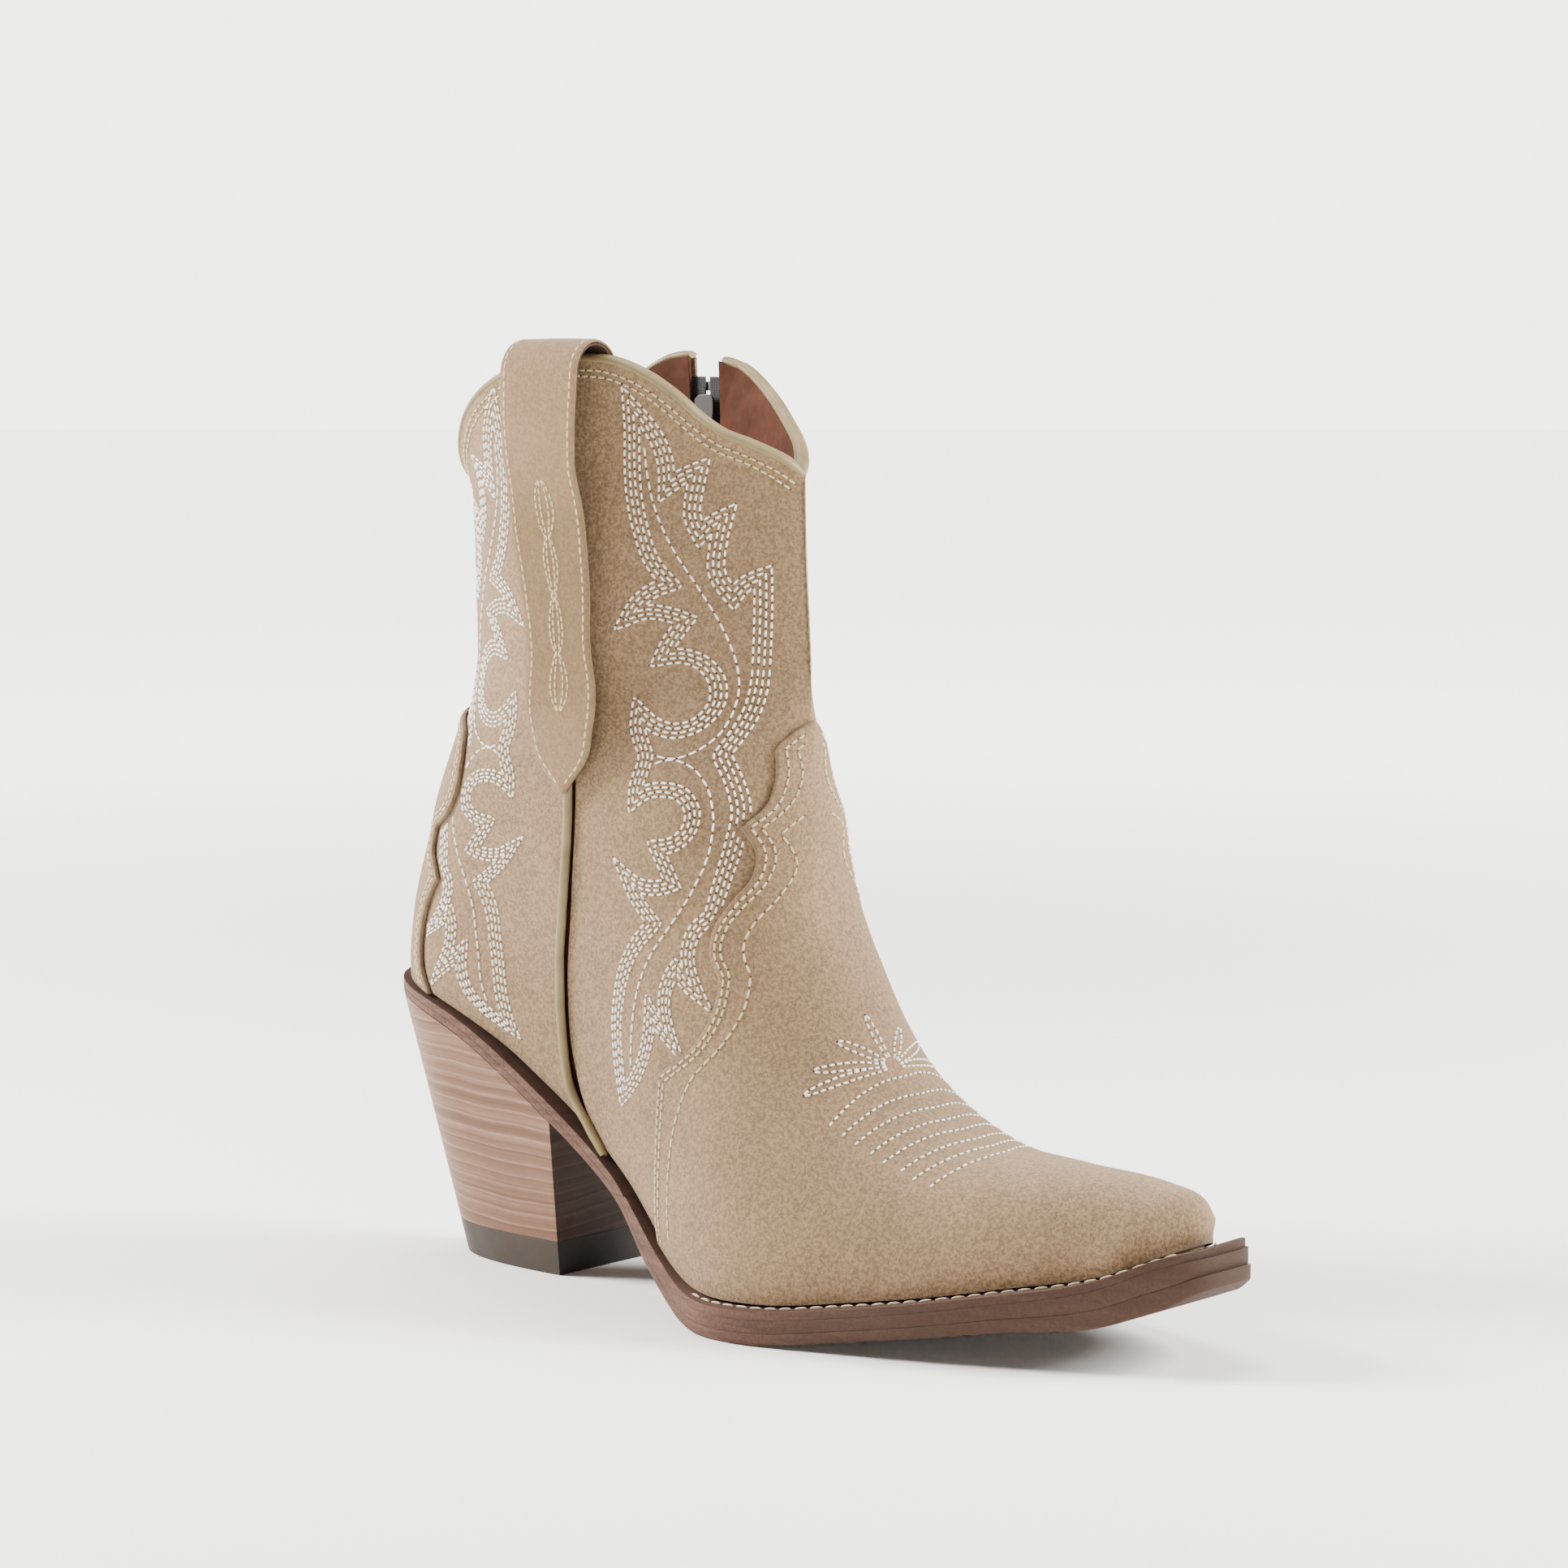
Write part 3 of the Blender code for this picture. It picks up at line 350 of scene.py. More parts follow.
POINTS, NORMALS = ring_grid()
GRID_X = POINTS[:, :, 0]
GRID_Z = POINTS[:, :, 2]
INNER_SIDE = np.broadcast_to(np.arange(POINTS.shape[1])[None] > COLUMNS, GRID_X.shape)


def zip_x(z):
    share = (ZIP_TOP[1] - z) / (ZIP_TOP[1] - ZIP_BOTTOM[1])
    return ZIP_TOP[0] + (ZIP_BOTTOM[0] - ZIP_TOP[0]) * share


# ---------------------------------------------------------------- objects
def add_object(name, points, faces, mat, ride=BODY, slot=None, replaces=(), attribute=None, sharp=40):
    """A smooth-shaded mesh object from points in millimetres."""
    mesh = bpy.data.meshes.new(name)
    mesh.from_pydata(np.asarray(points, float) * MM, [], faces)
    mesh.validate()
    mesh.shade_smooth()
    mesh.set_sharp_from_angle(angle=math.radians(sharp))
    if attribute is not None:
        layer = mesh.attributes.new("seam", "FLOAT", "POINT")
        layer.data.foreach_set("value", np.asarray(attribute, np.float32))
    made = bpy.data.objects.new(name, mesh)
    mesh.materials.append(mat)
    bpy.context.scene.collection.objects.link(made)
    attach(made, ride)
    if replaces:
        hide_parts(*replaces)
    return made


def loft(name, rings, mat, **place):
    """A skin through closed rings of equal length, with end faces."""
    count = len(rings[0])
    points = np.concatenate([np.asarray(ring, float) for ring in rings])
    faces = []
    for i in range(len(rings) - 1):
        for j in range(count):
            k = (j + 1) % count
            faces.append((i * count + j, i * count + k, (i + 1) * count + k, (i + 1) * count + j))
    faces.append(tuple(range(count))[::-1])
    faces.append(tuple((len(rings) - 1) * count + j for j in range(count)))
    return add_object(name, points, faces, mat, **place)


def clip(polygon, values, field, level, table, above=True):
    """The part of a polygon of vertex keys where the field is above (or below) a level."""
    out = []
    sign = 1 if above else -1
    for a, b in zip(polygon, polygon[1:] + polygon[:1]):
        fa = (values[a][field] - level) * sign
        fb = (values[b][field] - level) * sign
        if fa >= 0:
            out.append(a)
        if (fa > 0 and fb < 0) or (fa < 0 and fb > 0):
            lo, hi = sorted((a, b), key=repr)
            key = ("cut", lo, hi, field, level)
            if key not in table:
                share = (values[lo][field] - level) / (values[lo][field] - values[hi][field])
                table[key] = table[lo] + (table[hi] - table[lo]) * share
                values[key] = values[lo] + (values[hi] - values[lo]) * share
            out.append(key)
    return out


EDGE_BANDS = (0.0, 0.22, 0.7)


def rounded(distance, drop, reach):
    """How far a cut edge sinks, at a distance from it."""
    t = np.clip(distance / reach, 0, 1)
    return drop * (1 - np.sqrt(1 - (1 - t) ** 2))


def panel(name, layer, keep, mat, drop=0.45, **place):
    """A leather sheet of the boot's surface where every field in keep is positive.

    Its outer face is rounded down at its edges."""
    edge = np.minimum.reduce([np.broadcast_to(field, GRID_X.shape) for field in keep])
    edge = np.where(np.abs(edge) < 0.02, 0.02, edge)
    data = np.concatenate([POINTS, NORMALS], 2)
    columns = GRID_X.shape[1]
    following = (np.arange(columns) + 1) % columns
    corner = np.stack([edge[:-1], edge[:-1][:, following], edge[1:][:, following], edge[1:]], 0)
    whole = corner.min(0) > EDGE_BANDS[-1]
    some = (corner.max(0) > 0) & ~whole
    table = {}
    values = {}
    polygons = []
    for i, j in zip(*np.nonzero(whole)):
        k = (j + 1) % columns
        polygons.append([(i, j), (i, k), (i + 1, k), (i + 1, j)])
    for i, j in zip(*np.nonzero(some)):
        k = (j + 1) % columns
        square = [(i, j), (i, k), (i + 1, k), (i + 1, j)]
        for key in square:
            table[key] = data[key]
            values[key] = edge[key][None]
        for corners in ((0, 1, 2), (0, 2, 3)):
            rest = [square[c] for c in corners]
            for low, high in zip(EDGE_BANDS, EDGE_BANDS[1:] + (None,)):
                part = clip(rest, values, 0, low, table)
                if high is not None and len(part) > 2:
                    part = clip(part, values, 0, high, table, above=False)
                if len(part) > 2:
                    polygons.append(part)
    order = {}
    for polygon in polygons:
        for key in polygon:
            order.setdefault(key, len(order))
    total = len(order)
    rows_of = np.array([table[key] if key in table else data[key] for key in order])
    distance = np.array([values[key][0] if key in values else edge[key] for key in order])
    base, normal = rows_of[:, :3], rows_of[:, 3:]
    normal = normal / np.linalg.norm(normal, axis=1)[:, None]
    outer = base + normal * (layer[0] - rounded(distance, drop, EDGE_BANDS[-1]))[:, None]
    inner = base + normal * (layer[1] + rounded(distance, 0.15, EDGE_BANDS[1]))[:, None]
    faces = []
    edges = set()
    for polygon in polygons:
        ring = [order[key] for key in polygon]
        ring = [v for v, before in zip(ring, ring[-1:] + ring[:-1]) if v != before]
        if len(ring) < 3:
            continue
        faces.append(tuple(ring))
        faces.append(tuple(total + v for v in ring[::-1]))
        edges.update(zip(ring, ring[1:] + ring[:1]))
    for a, b in edges:
        if (b, a) not in edges:
            faces.append((b, a, total + a, total + b))
    return add_object(name, np.concatenate([outer, inner]), faces, mat,
                      attribute=np.concatenate([distance, distance]), **place)


# ---------------------------------------------------------------- stitches
class Stitches:
    """Collects the thread of one colour as many small rounded stitches."""

    def __init__(self, name, mat, slot, holes=None):
        self.name, self.mat, self.slot = name, mat, slot
        self.points = []
        self.faces = []
        self.count = 0
        self.holes = holes

    def dot(self, place, normal, radius):
        """A needle hole: a small dark disc, sunk at its middle; its dark colour is painted shade."""
        across = np.cross(normal, (0.3, 0.2, 0.9))
        across /= np.linalg.norm(across)
        along = np.cross(normal, across)
        turns = np.linspace(0, 2 * np.pi, 7)[:6]
        ring = [place + (across * math.cos(t) + along * math.sin(t)) * radius for t in turns]
        first = self.count
        self.points.append(np.array(ring + [place + normal * 0.01]))
        self.faces += [(first + i, first + (i + 1) % 6, first + 6) for i in range(6)]
        self.count += 7

    def add(self, start, end, normal, radius, bow):
        """One stitch between two points: a capsule pressed a little into the leather."""
        run = end - start
        length = np.linalg.norm(run)
        if length < 0.3:
            return
        run = run / length
        across = np.cross(normal, run)
        rings = []
        for t, width in ((0.0, 0.42), (0.1, 0.82), (0.34, 1.0), (0.66, 1.0), (0.9, 0.82), (1.0, 0.42)):
            rise = bow * 4 * t * (1 - t) - 0.25 * abs(2 * t - 1) ** 3
            centre = start + run * length * t + normal * (rise * radius)
            for turn in np.linspace(0, 2 * np.pi, 6, endpoint=False):
                rings.append(centre + across * math.cos(turn) * radius * width
                             + normal * math.sin(turn) * radius * width)
        first = self.count
        self.points.append(np.array(rings))
        for i in range(5):
            for j in range(6):
                k = (j + 1) % 6
                self.faces.append((first + i * 6 + j, first + i * 6 + k,
                                   first + i * 6 + 6 + k, first + i * 6 + 6 + j))
        self.faces.append(tuple(first + j for j in range(6))[::-1])
        self.faces.append(tuple(first + 30 + j for j in range(6)))
        self.count += 36

    def along(self, path, normals, pitch, length, radius, start=0.0, bow=0.0):
        """Stitches at a pitch along a path in space."""
        chord = chord_of(path)
        count = max(int(round(chord[-1] / pitch)), 1)
        share = length / pitch
        pitch = chord[-1] / count
        length = share * pitch
        for number in range(count):
            at = (number + 0.5 * (1 - share) + start) * pitch
            if at + length > chord[-1]:
                break
            ends = [np.array([np.interp(where, chord, path[:, i]) for i in range(3)])
                    for where in (at, at + length)]
            middle = np.array([np.interp(at + length / 2, chord, normals[:, i]) for i in range(3)])
            middle /= np.linalg.norm(middle)
            shift = np.cross(middle, ends[1] - ends[0])
            shift /= max(np.linalg.norm(shift), 1e-6)
            wobble = RANDOM.uniform(-0.06, 0.06, 2)
            self.add(ends[0] + shift * wobble[0], ends[1] + shift * wobble[1], middle, radius, bow)
            if self.holes is not None:
                run = (ends[1] - ends[0]) / np.linalg.norm(ends[1] - ends[0])
                hole = ends[1] + run * (pitch - length) / 2 - middle * 0.09
                self.holes.dot(hole, middle, min(0.27, (pitch - length) * 0.42))

    def finish(self, **place):
        return add_object(self.name, np.concatenate(self.points), self.faces, self.mat,
                          slot=self.slot, sharp=180, **place)


SHARP_TURN = math.cos(math.radians(60))


def keep_where(line, good, least=5):
    """The stretches of a line, of some points at least, where good holds."""
    pieces = []
    first = None
    for i, ok in enumerate(good):
        if ok and first is None:
            first = i
        if first is not None and (not ok or i == len(good) - 1):
            if i - first >= least:
                pieces.append(line[first:i])
            first = None
    return pieces


def offset_line(line, distance):
    """A line shifted sideways in its plane; the pieces that fold over themselves are dropped."""
    if distance == 0:
        return [line]
    run = np.diff(line, axis=0)
    run /= np.linalg.norm(run, axis=1)[:, None]
    normal = np.stack([-run[:, 1], run[:, 0]], 1)
    out = []
    for i in range(len(line)):
        before = normal[max(i - 1, 0)]
        after = normal[min(i, len(normal) - 1)]
        cosine = float(np.clip(before @ after, -1, 1))
        middle = before + after
        size = np.linalg.norm(middle)
        if cosine < SHARP_TURN and size > 0.35:
            # A point of the line: carry both sides on to where they meet
            out.append(line[i] + before * distance)
            turn = before[0] * after[1] - before[1] * after[0]
            if turn * distance < 0:
                out.append(line[i] + middle / size * distance * 2 / size)
            out.append(line[i] + after * distance)
        else:
            out.append(line[i] + middle / max(size, 1e-6) * distance)
    out = np.array(out)
    fine = by_share(out, np.linspace(0, 1, int(chord_of(out)[-1] / 0.3) + 2))
    gap, _ = nearest(fine[:, 0], fine[:, 1], line)
    return keep_where(fine, gap > abs(distance) - 0.12, 7)


def lay(line, side, depth):
    """An (x, z) line on the boot's side, in space, with its normals."""
    place, normal = surface(line[:, 0], line[:, 1], side)
    return place + normal * depth, normal


def sew(thread_of, line, side, depth, stitch, start=0.0):
    """A row of stitches along an (x, z) line on the boot's side."""
    path, normals = lay(line, side, depth)
    thread_of.along(path, normals, *stitch, start=start)


# ---------------------------------------------------------------- materials
def rgb(red, green, blue):
    """A colour given as it looks on a screen, as linear values."""
    return tuple(((c / 255 + 0.055) / 1.055) ** 2.4 if c > 10 else c / 3294 for c in (red, green, blue))


class Graph:
    """A small helper for node materials."""

    def __init__(self, name):
        self.mat = bpy.data.materials.new(name)
        self.mat.use_nodes = True
        self.tree = self.mat.node_tree
        self.shader = self.tree.nodes["Principled BSDF"]
        self.place = self.node("ShaderNodeTexCoord").outputs["Object"]

    def node(self, kind, **values):
        made = self.tree.nodes.new(kind)
        for key, value in values.items():
            if key in made.inputs:
                self.put(made.inputs[key], value)
            else:
                setattr(made, key, value)
        return made

    def put(self, socket, value):
        if isinstance(value, bpy.types.NodeSocket):
            self.tree.links.new(value, socket)
        else:
            socket.default_value = value

    def set(self, **values):
        for key, value in values.items():
            self.put(self.shader.inputs[key.replace("_", " ")], value)

    def noise(self, scale, detail=3.0, rough=0.55, stretch=None, distortion=0.0):
        """Noise with features of about 1/scale metres, or stretched by (x, y, z)."""
        at = self.place
        if stretch:
            at = self.node("ShaderNodeMapping", Vector=at, Scale=stretch).outputs[0]
        made = self.node("ShaderNodeTexNoise", Vector=at, Scale=scale, Detail=detail,
                         Roughness=rough, Distortion=distortion)
        return made.outputs["Fac"]

    def ramp(self, factor, *stops):
        made = self.node("ShaderNodeValToRGB", Fac=factor)
        elements = made.color_ramp.elements
        while len(elements) < len(stops):
            elements.new(0.5)
        for element, (position, colour) in zip(elements, stops):
            element.position = position
            element.color = (*colour, 1)
        return made.outputs["Color"]

    def mix(self, factor, a, b):
        made = self.node("ShaderNodeMix", data_type="RGBA")
        self.put(made.inputs[0], factor)
        for socket, value in ((made.inputs[6], a), (made.inputs[7], b)):
            self.put(socket, (*value, 1) if isinstance(value, tuple) else value)
        return made.outputs[2]

    def math(self, kind, a, b=0.0):
        made = self.node("ShaderNodeMath", operation=kind)
        self.put(made.inputs[0], a)
        self.put(made.inputs[1], b)
        return made.outputs[0]

    def range(self, value, low, high, to_low=0.0, to_high=1.0):
        made = self.node("ShaderNodeMapRange", interpolation_type="SMOOTHSTEP")
        for key, v in zip(("Value", "From Min", "From Max", "To Min", "To Max"),
                          (value, low, high, to_low, to_high)):
            self.put(made.inputs[key], v)
        return made.outputs[0]

    def attribute(self, name):
        return self.node("ShaderNodeAttribute", attribute_name=name).outputs["Fac"]

    def bump(self, height, distance, strength):
        return self.node("ShaderNodeBump", Height=height, Distance=distance, Strength=strength).outputs[0]

    def parts(self, vector):
        """The X, Y and Z of a vector."""
        return self.node("ShaderNodeSeparateXYZ", Vector=vector).outputs

    def facing(self):
        return self.parts(self.node("ShaderNodeNewGeometry").outputs["Normal"])


def suede(name, base, seed=0.0):
    """Napped suede: fine light and dark fibres over soft cloudy patches."""
    g = Graph(name)
    dark, mid, light = base
    cloud = g.noise(55.0 + seed, 3.0, 0.6)
    drift = g.noise(21.0 + seed, 2.0, 0.5, distortion=0.6)
    nap = g.noise(1150.0, 2.5, 0.75)
    fibre = g.noise(2600.0, 2.0, 0.8, stretch=(1.0, 1.0, 0.45))
    colour = g.ramp(g.math("ADD", g.math("MULTIPLY", cloud, 0.55), g.math("MULTIPLY", drift, 0.45)),
                    (0.34, dark), (0.5, mid), (0.66, light))
    lying = g.mix(0.7, colour, tuple(c * 0.76 for c in dark))
    standing = g.mix(0.6, colour, tuple(min(c * 1.1, 1) for c in light))
    colour = g.mix(g.range(nap, 0.37, 0.63), lying, standing)
    fleck = g.range(fibre, 0.57, 0.7)
    colour = g.mix(g.math("MULTIPLY", fleck, 0.6), colour, tuple(min(c * 1.45, 1) for c in light))
    pit = g.range(fibre, 0.36, 0.2)
    colour = g.mix(g.math("MULTIPLY", pit, 0.35), colour, tuple(c * 0.62 for c in dark))
    # Painted shade at the panels' cut edges, where the leather rounds down into the seams: a little darker
    edge = g.range(g.attribute("seam"), 0.55, 0.0)
    colour = g.mix(g.math("MULTIPLY", edge, 0.55), colour, tuple(c * 0.62 for c in dark))
    height = g.math("ADD", g.math("MULTIPLY", nap, 0.7), g.math("MULTIPLY", fibre, 0.5))
    g.set(Base_Color=colour, Roughness=0.94, Normal=g.bump(height, 0.0003, 0.8))
    g.set(Sheen_Weight=0.12, Sheen_Roughness=0.55, Sheen_Tint=(1.0, 0.93, 0.84, 1.0))
    g.set(Specular_IOR_Level=0.15)
    return g.mat


def leather(name, base, roughness, grain=900.0, gloss=0.4):
    """Smooth leather with a fine grain and soft colour changes."""
    g = Graph(name)
    dark, light = base
    cells = g.node("ShaderNodeTexVoronoi", Vector=g.place, Scale=grain).outputs["Distance"]
    cloud = g.noise(90.0, 4.0, 0.6)
    colour = g.ramp(cloud, (0.32, dark), (0.68, light))
    colour = g.mix(g.math("MULTIPLY", g.range(cells, 0.25, 0.0), 0.25), colour,
                   tuple(c * 0.55 for c in dark))
    fine = g.noise(grain * 1.7, 2.0, 0.6)
    height = g.math("ADD", cells, g.math("MULTIPLY", fine, 0.4))
    rough = g.range(g.noise(300.0, 3.0), 0.3, 0.7, roughness - 0.07, roughness + 0.1)
    g.set(Base_Color=colour, Roughness=rough, Normal=g.bump(height, 0.00006, 0.8))
    g.set(Specular_IOR_Level=gloss)
    return g.mat


def thread(name, light, dark):
    """Twisted sewing thread."""
    g = Graph(name)
    twist = g.node("ShaderNodeTexWave", Vector=g.place, Scale=1500.0, Distortion=2.0, Detail=1.0,
                   wave_type="BANDS", bands_direction="DIAGONAL").outputs["Fac"]
    stray = g.noise(420.0, 2.0)
    colour = g.mix(g.math("MULTIPLY", twist, 0.4), light, dark)
    colour = g.mix(g.math("MULTIPLY", g.range(stray, 0.55, 0.75), 0.5), colour, dark)
    g.set(Base_Color=colour, Roughness=0.55, Normal=g.bump(twist, 0.00006, 0.6))
    g.set(Sheen_Weight=0.2, Sheen_Roughness=0.4)
    return g.mat


# ---------------------------------------------------------------- upper
EMBROIDERED_LEFT = [
    [(59.3, 230.2), (58.9, 224), (58.3, 216), (58.7, 207), (60.2, 198.8), (63, 190.5), (67, 185.2)],
    [(67, 185.2), (62.4, 183), (59.6, 180.4), (57.3, 176.6)],
    [(57.3, 176.6), (61.5, 178), (66, 177.6), (70.6, 176)],
    [(70.6, 176), (68.6, 173), (66.8, 170), (65.2, 166.4)],
    [(65.2, 166.4), (70, 166.9), (75, 164.8), (78.2, 160), (78.5, 154.5), (75.6, 150.2), (70.5, 148.4),
     (65.5, 149.8), (61, 153)],
    [(61, 153), (61.4, 149), (62.8, 145.5), (64.6, 142), (63.9, 138), (62.8, 134.4), (62.6, 130.6)],
    [(62.6, 130.6), (66, 132.8), (70.5, 133.6), (75, 132.6), (78.3, 128.5), (77.9, 123.6), (74.5, 120),
     (69.2, 118.7)],
    [(69.2, 118.7), (71.2, 115), (74, 109.7)],
    [(74, 109.7), (69.5, 108.4), (65, 108.5), (60, 110.8)],
    [(60, 110.8), (62.4, 106.6), (65.4, 102.8), (68.8, 99.4)],
    [(68.8, 99.4), (63.8, 94.4), (59.2, 88), (56, 80), (54, 71), (54, 63), (55.6, 53.5)]]
EMBROIDERED_RIGHT = [
    [(59.3, 230.2), (62.0, 226.6), (64.2, 222.6), (65.7, 218), (66.2, 209.6)],
    [(66.2, 209.6), (69.6, 212.2), (73.5, 214)],
    [(73.5, 214), (72.3, 208), (71.9, 202.6), (73.6, 197.6)],
    [(73.6, 197.6), (75.9, 200.3), (78.8, 202.2)],
    [(78.8, 202.2), (77.5, 195), (77.3, 188), (80.8, 181.8)],
    [(80.8, 181.8), (83.4, 185.4), (86.8, 187.3)],
    [(86.8, 187.3), (87, 176), (86.8, 164), (86.2, 153), (82.4, 142.6)],
    [(82.4, 142.6), (86, 136.5), (88.8, 128.5), (88.2, 120), (86.4, 111), (84.6, 102)],
    [(84.6, 102), (80.6, 98.2), (79, 92.5), (80, 87), (82.2, 82.8)],
    [(82.2, 82.8), (78.8, 85), (75.6, 88.4)],
    [(75.6, 88.4), (73, 84), (72.3, 79), (73.2, 74.4), (75.4, 69.8)],
    [(75.4, 69.8), (71.2, 73), (67.4, 77)],
    [(67.4, 77), (66.6, 70), (64.4, 63.6), (60.6, 58), (55.6, 53.5)]]
SINGLE_ROWS = [
    [(61.4, 220), (62, 211), (64.2, 202), (67.6, 194), (73, 184.8), (78, 175.5), (81.4, 166.5),
     (82.8, 155), (81, 148), (76.3, 143.2), (71.5, 141.4), (66.8, 142.2)],
    [(66.8, 139.8), (71, 141.2), (75.6, 140), (80.2, 135.6), (83.2, 128), (83, 118), (79.6, 108.6),
     (73.6, 99), (67, 90), (62.6, 80.6), (60.2, 70), (59.4, 61)]]
INNER_VAMP_ROW = [
    [(80, 20), (79, 38), (80.5, 52), (84, 61), (92, 71), (95.6, 80), (95.6, 88)],
    [(95.6, 88), (93, 94), (94, 100), (97, 106), (98.4, 113), (95.6, 122.5)],
    [(95.6, 122.5), (97.8, 129), (97.6, 136), (96.6, 141), (100, 147)]]
BAND_ROWS = (-1.75, -0.58, 0.58, 1.75)
REAR_TOP = 135.0
REAR_SQUEEZE = 0.845    # the rear motif is shorter, because the heel seat is higher
REAR_SHIFT = -7.0
seam_x = smooth_function([(z, x) for x, z in SIDE_SEAM[::-1]])

# Toe ornament: petal tips round a centre, and rows over the ridge as (low end x, y) and (ridge x, y)
BUG_CENTRE = (123.6, -0.6, 64.6)
PETAL_TIPS = [(114.0, -24.8, 59.3), (113.7, -20.6, 64.9), (115.0, -13.0, 71.6), (115.3, -2.4, 77.3),
              (116.8, 9.4, 72.9), (116.2, 17.5, 67.5), (118.8, 21.8, 61.6)]
PETAL_START = 2.6
BUG_ROWS = [((122.2, -24.9), (125.6, 0.5)), ((125.9, -24.5), (130.2, 1.5)), ((129.5, -23.9), (134.6, 2.0)),
            ((133.8, -23.1), (139.0, 2.0)), ((137.6, -22.9), (143.3, 2.0)), ((142.4, -21.9), (148.0, 2.0)),
            ((146.2, -22.0), (152.6, 1.5)), ((151.0, -21.3), (157.4, 1.0))]

# Distance round the leg from the back, at each level
LEVELS = np.linspace(40, 247, 90)
GIRTH_X = np.array([np.linspace(back_x(z), front_x(z), 240) for z in LEVELS])
GIRTH_Y = half_width(GIRTH_X, np.repeat(LEVELS[:, None], 240, 1))
GIRTH = np.concatenate([np.zeros((90, 1)),
                        np.cumsum(np.hypot(np.diff(GIRTH_X, axis=1), np.diff(GIRTH_Y, axis=1)), 1)], 1)


def mirrored(line):
    """The front motif turned over the side seam, at the same distance round the leg."""
    out = []
    for x, z in line:
        level = (z - LEVELS[0]) / (LEVELS[1] - LEVELS[0])
        row = int(np.clip(round(level), 0, len(LEVELS) - 1))
        seam = np.interp(seam_x(z), GIRTH_X[row], GIRTH[row])
        around = 2 * seam - np.interp(x, GIRTH_X[row], GIRTH[row])
        around -= REAR_SHIFT * smoothstep((z - 150) / 80)
        down = REAR_TOP - (REAR_TOP - z) * REAR_SQUEEZE if z < REAR_TOP else z
        out.append((np.interp(around, GIRTH[row], GIRTH_X[row]) if around > 0.5 else -90.0, down))
    return np.array(out)


def upper(mats):
    def beside(line, row, column):
        """Signed distance from a line over the grid, positive at one point of the grid."""
        field = side_of(GRID_X, GRID_Z, line)
        return field if field[row, column] >= 0 else -field

    seam = beside(smooth_line(SIDE_SEAM[::-1], pitch=2.0), 5, COLUMNS)
    vamp_line = cusped_line(VAMP_EDGE, 0.4)
    vamp = beside(vamp_line, 2, COLUMNS)
    counter_line = cusped_line(COUNTER_EDGE, 0.4)
    counter = beside(counter_line, 5, 0)
    run = GRID_X - zip_x(GRID_Z)
    under = ZIP_BOTTOM[1] - SLOT_END - np.sqrt(np.maximum(ZIP_SLOT**2 - run**2, 0)) - GRID_Z
    before_zip = np.where(INNER_SIDE, np.maximum(run - ZIP_SLOT, under), 100)
    behind_zip = np.where(INNER_SIDE, np.maximum(-run - ZIP_SLOT, under), 100)
    piped = np.where(INNER_SIDE & (GRID_Z > 97), 0.35, 0.9)
    grooved = np.where(INNER_SIDE & (GRID_Z > 97), 0.35, 1.7)

    panel("vamp_suede", OVERLAY, [vamp], mats["suede"], slot="suede", replaces=["vamp"])
    panel("counter_suede", OVERLAY, [counter], mats["suede"], slot="suede",
          replaces=["counter_overlay"])
    panel("shaft_front_suede", SHAFT, [seam - grooved, LAP - vamp, before_zip], mats["suede"],
          slot="suede", replaces=["shaft_front"])
    panel("shaft_back_suede", SHAFT, [-seam - piped, behind_zip], mats["suede"],
          slot="suede", replaces=["shaft_back"])
    panel("lining_front_leather", LINING, [seam - 0.12, before_zip], mats["lining"], drop=0.2,
          slot="lining_leather", replaces=["lining_front"])
    panel("lining_back_leather", LINING, [-seam - 0.12, behind_zip], mats["lining"], drop=0.2,
          slot="lining_leather", replaces=["lining_back"])
    return vamp_line, counter_line


def on_boot(line, side):
    """Whether points of an (x, z) line lie on the boot's side view, clear of its outline."""
    edge = TOPLINE if side < 0 else INNER_TOPLINE
    top = np.interp(line[:, 0], *smooth_line(edge, 200).T)
    inside = (line[:, 1] < top - 1.0) & (line[:, 1] > feather_z(line[:, 0]) + 1.0)
    inside &= line[:, 0] > back_x(line[:, 1]) + 0.4
    inside &= (line[:, 0] < front_x(line[:, 1]) - 0.4) | (line[:, 1] < 70)
    return inside & (half_width(line[:, 0], line[:, 1]) > 3.0)


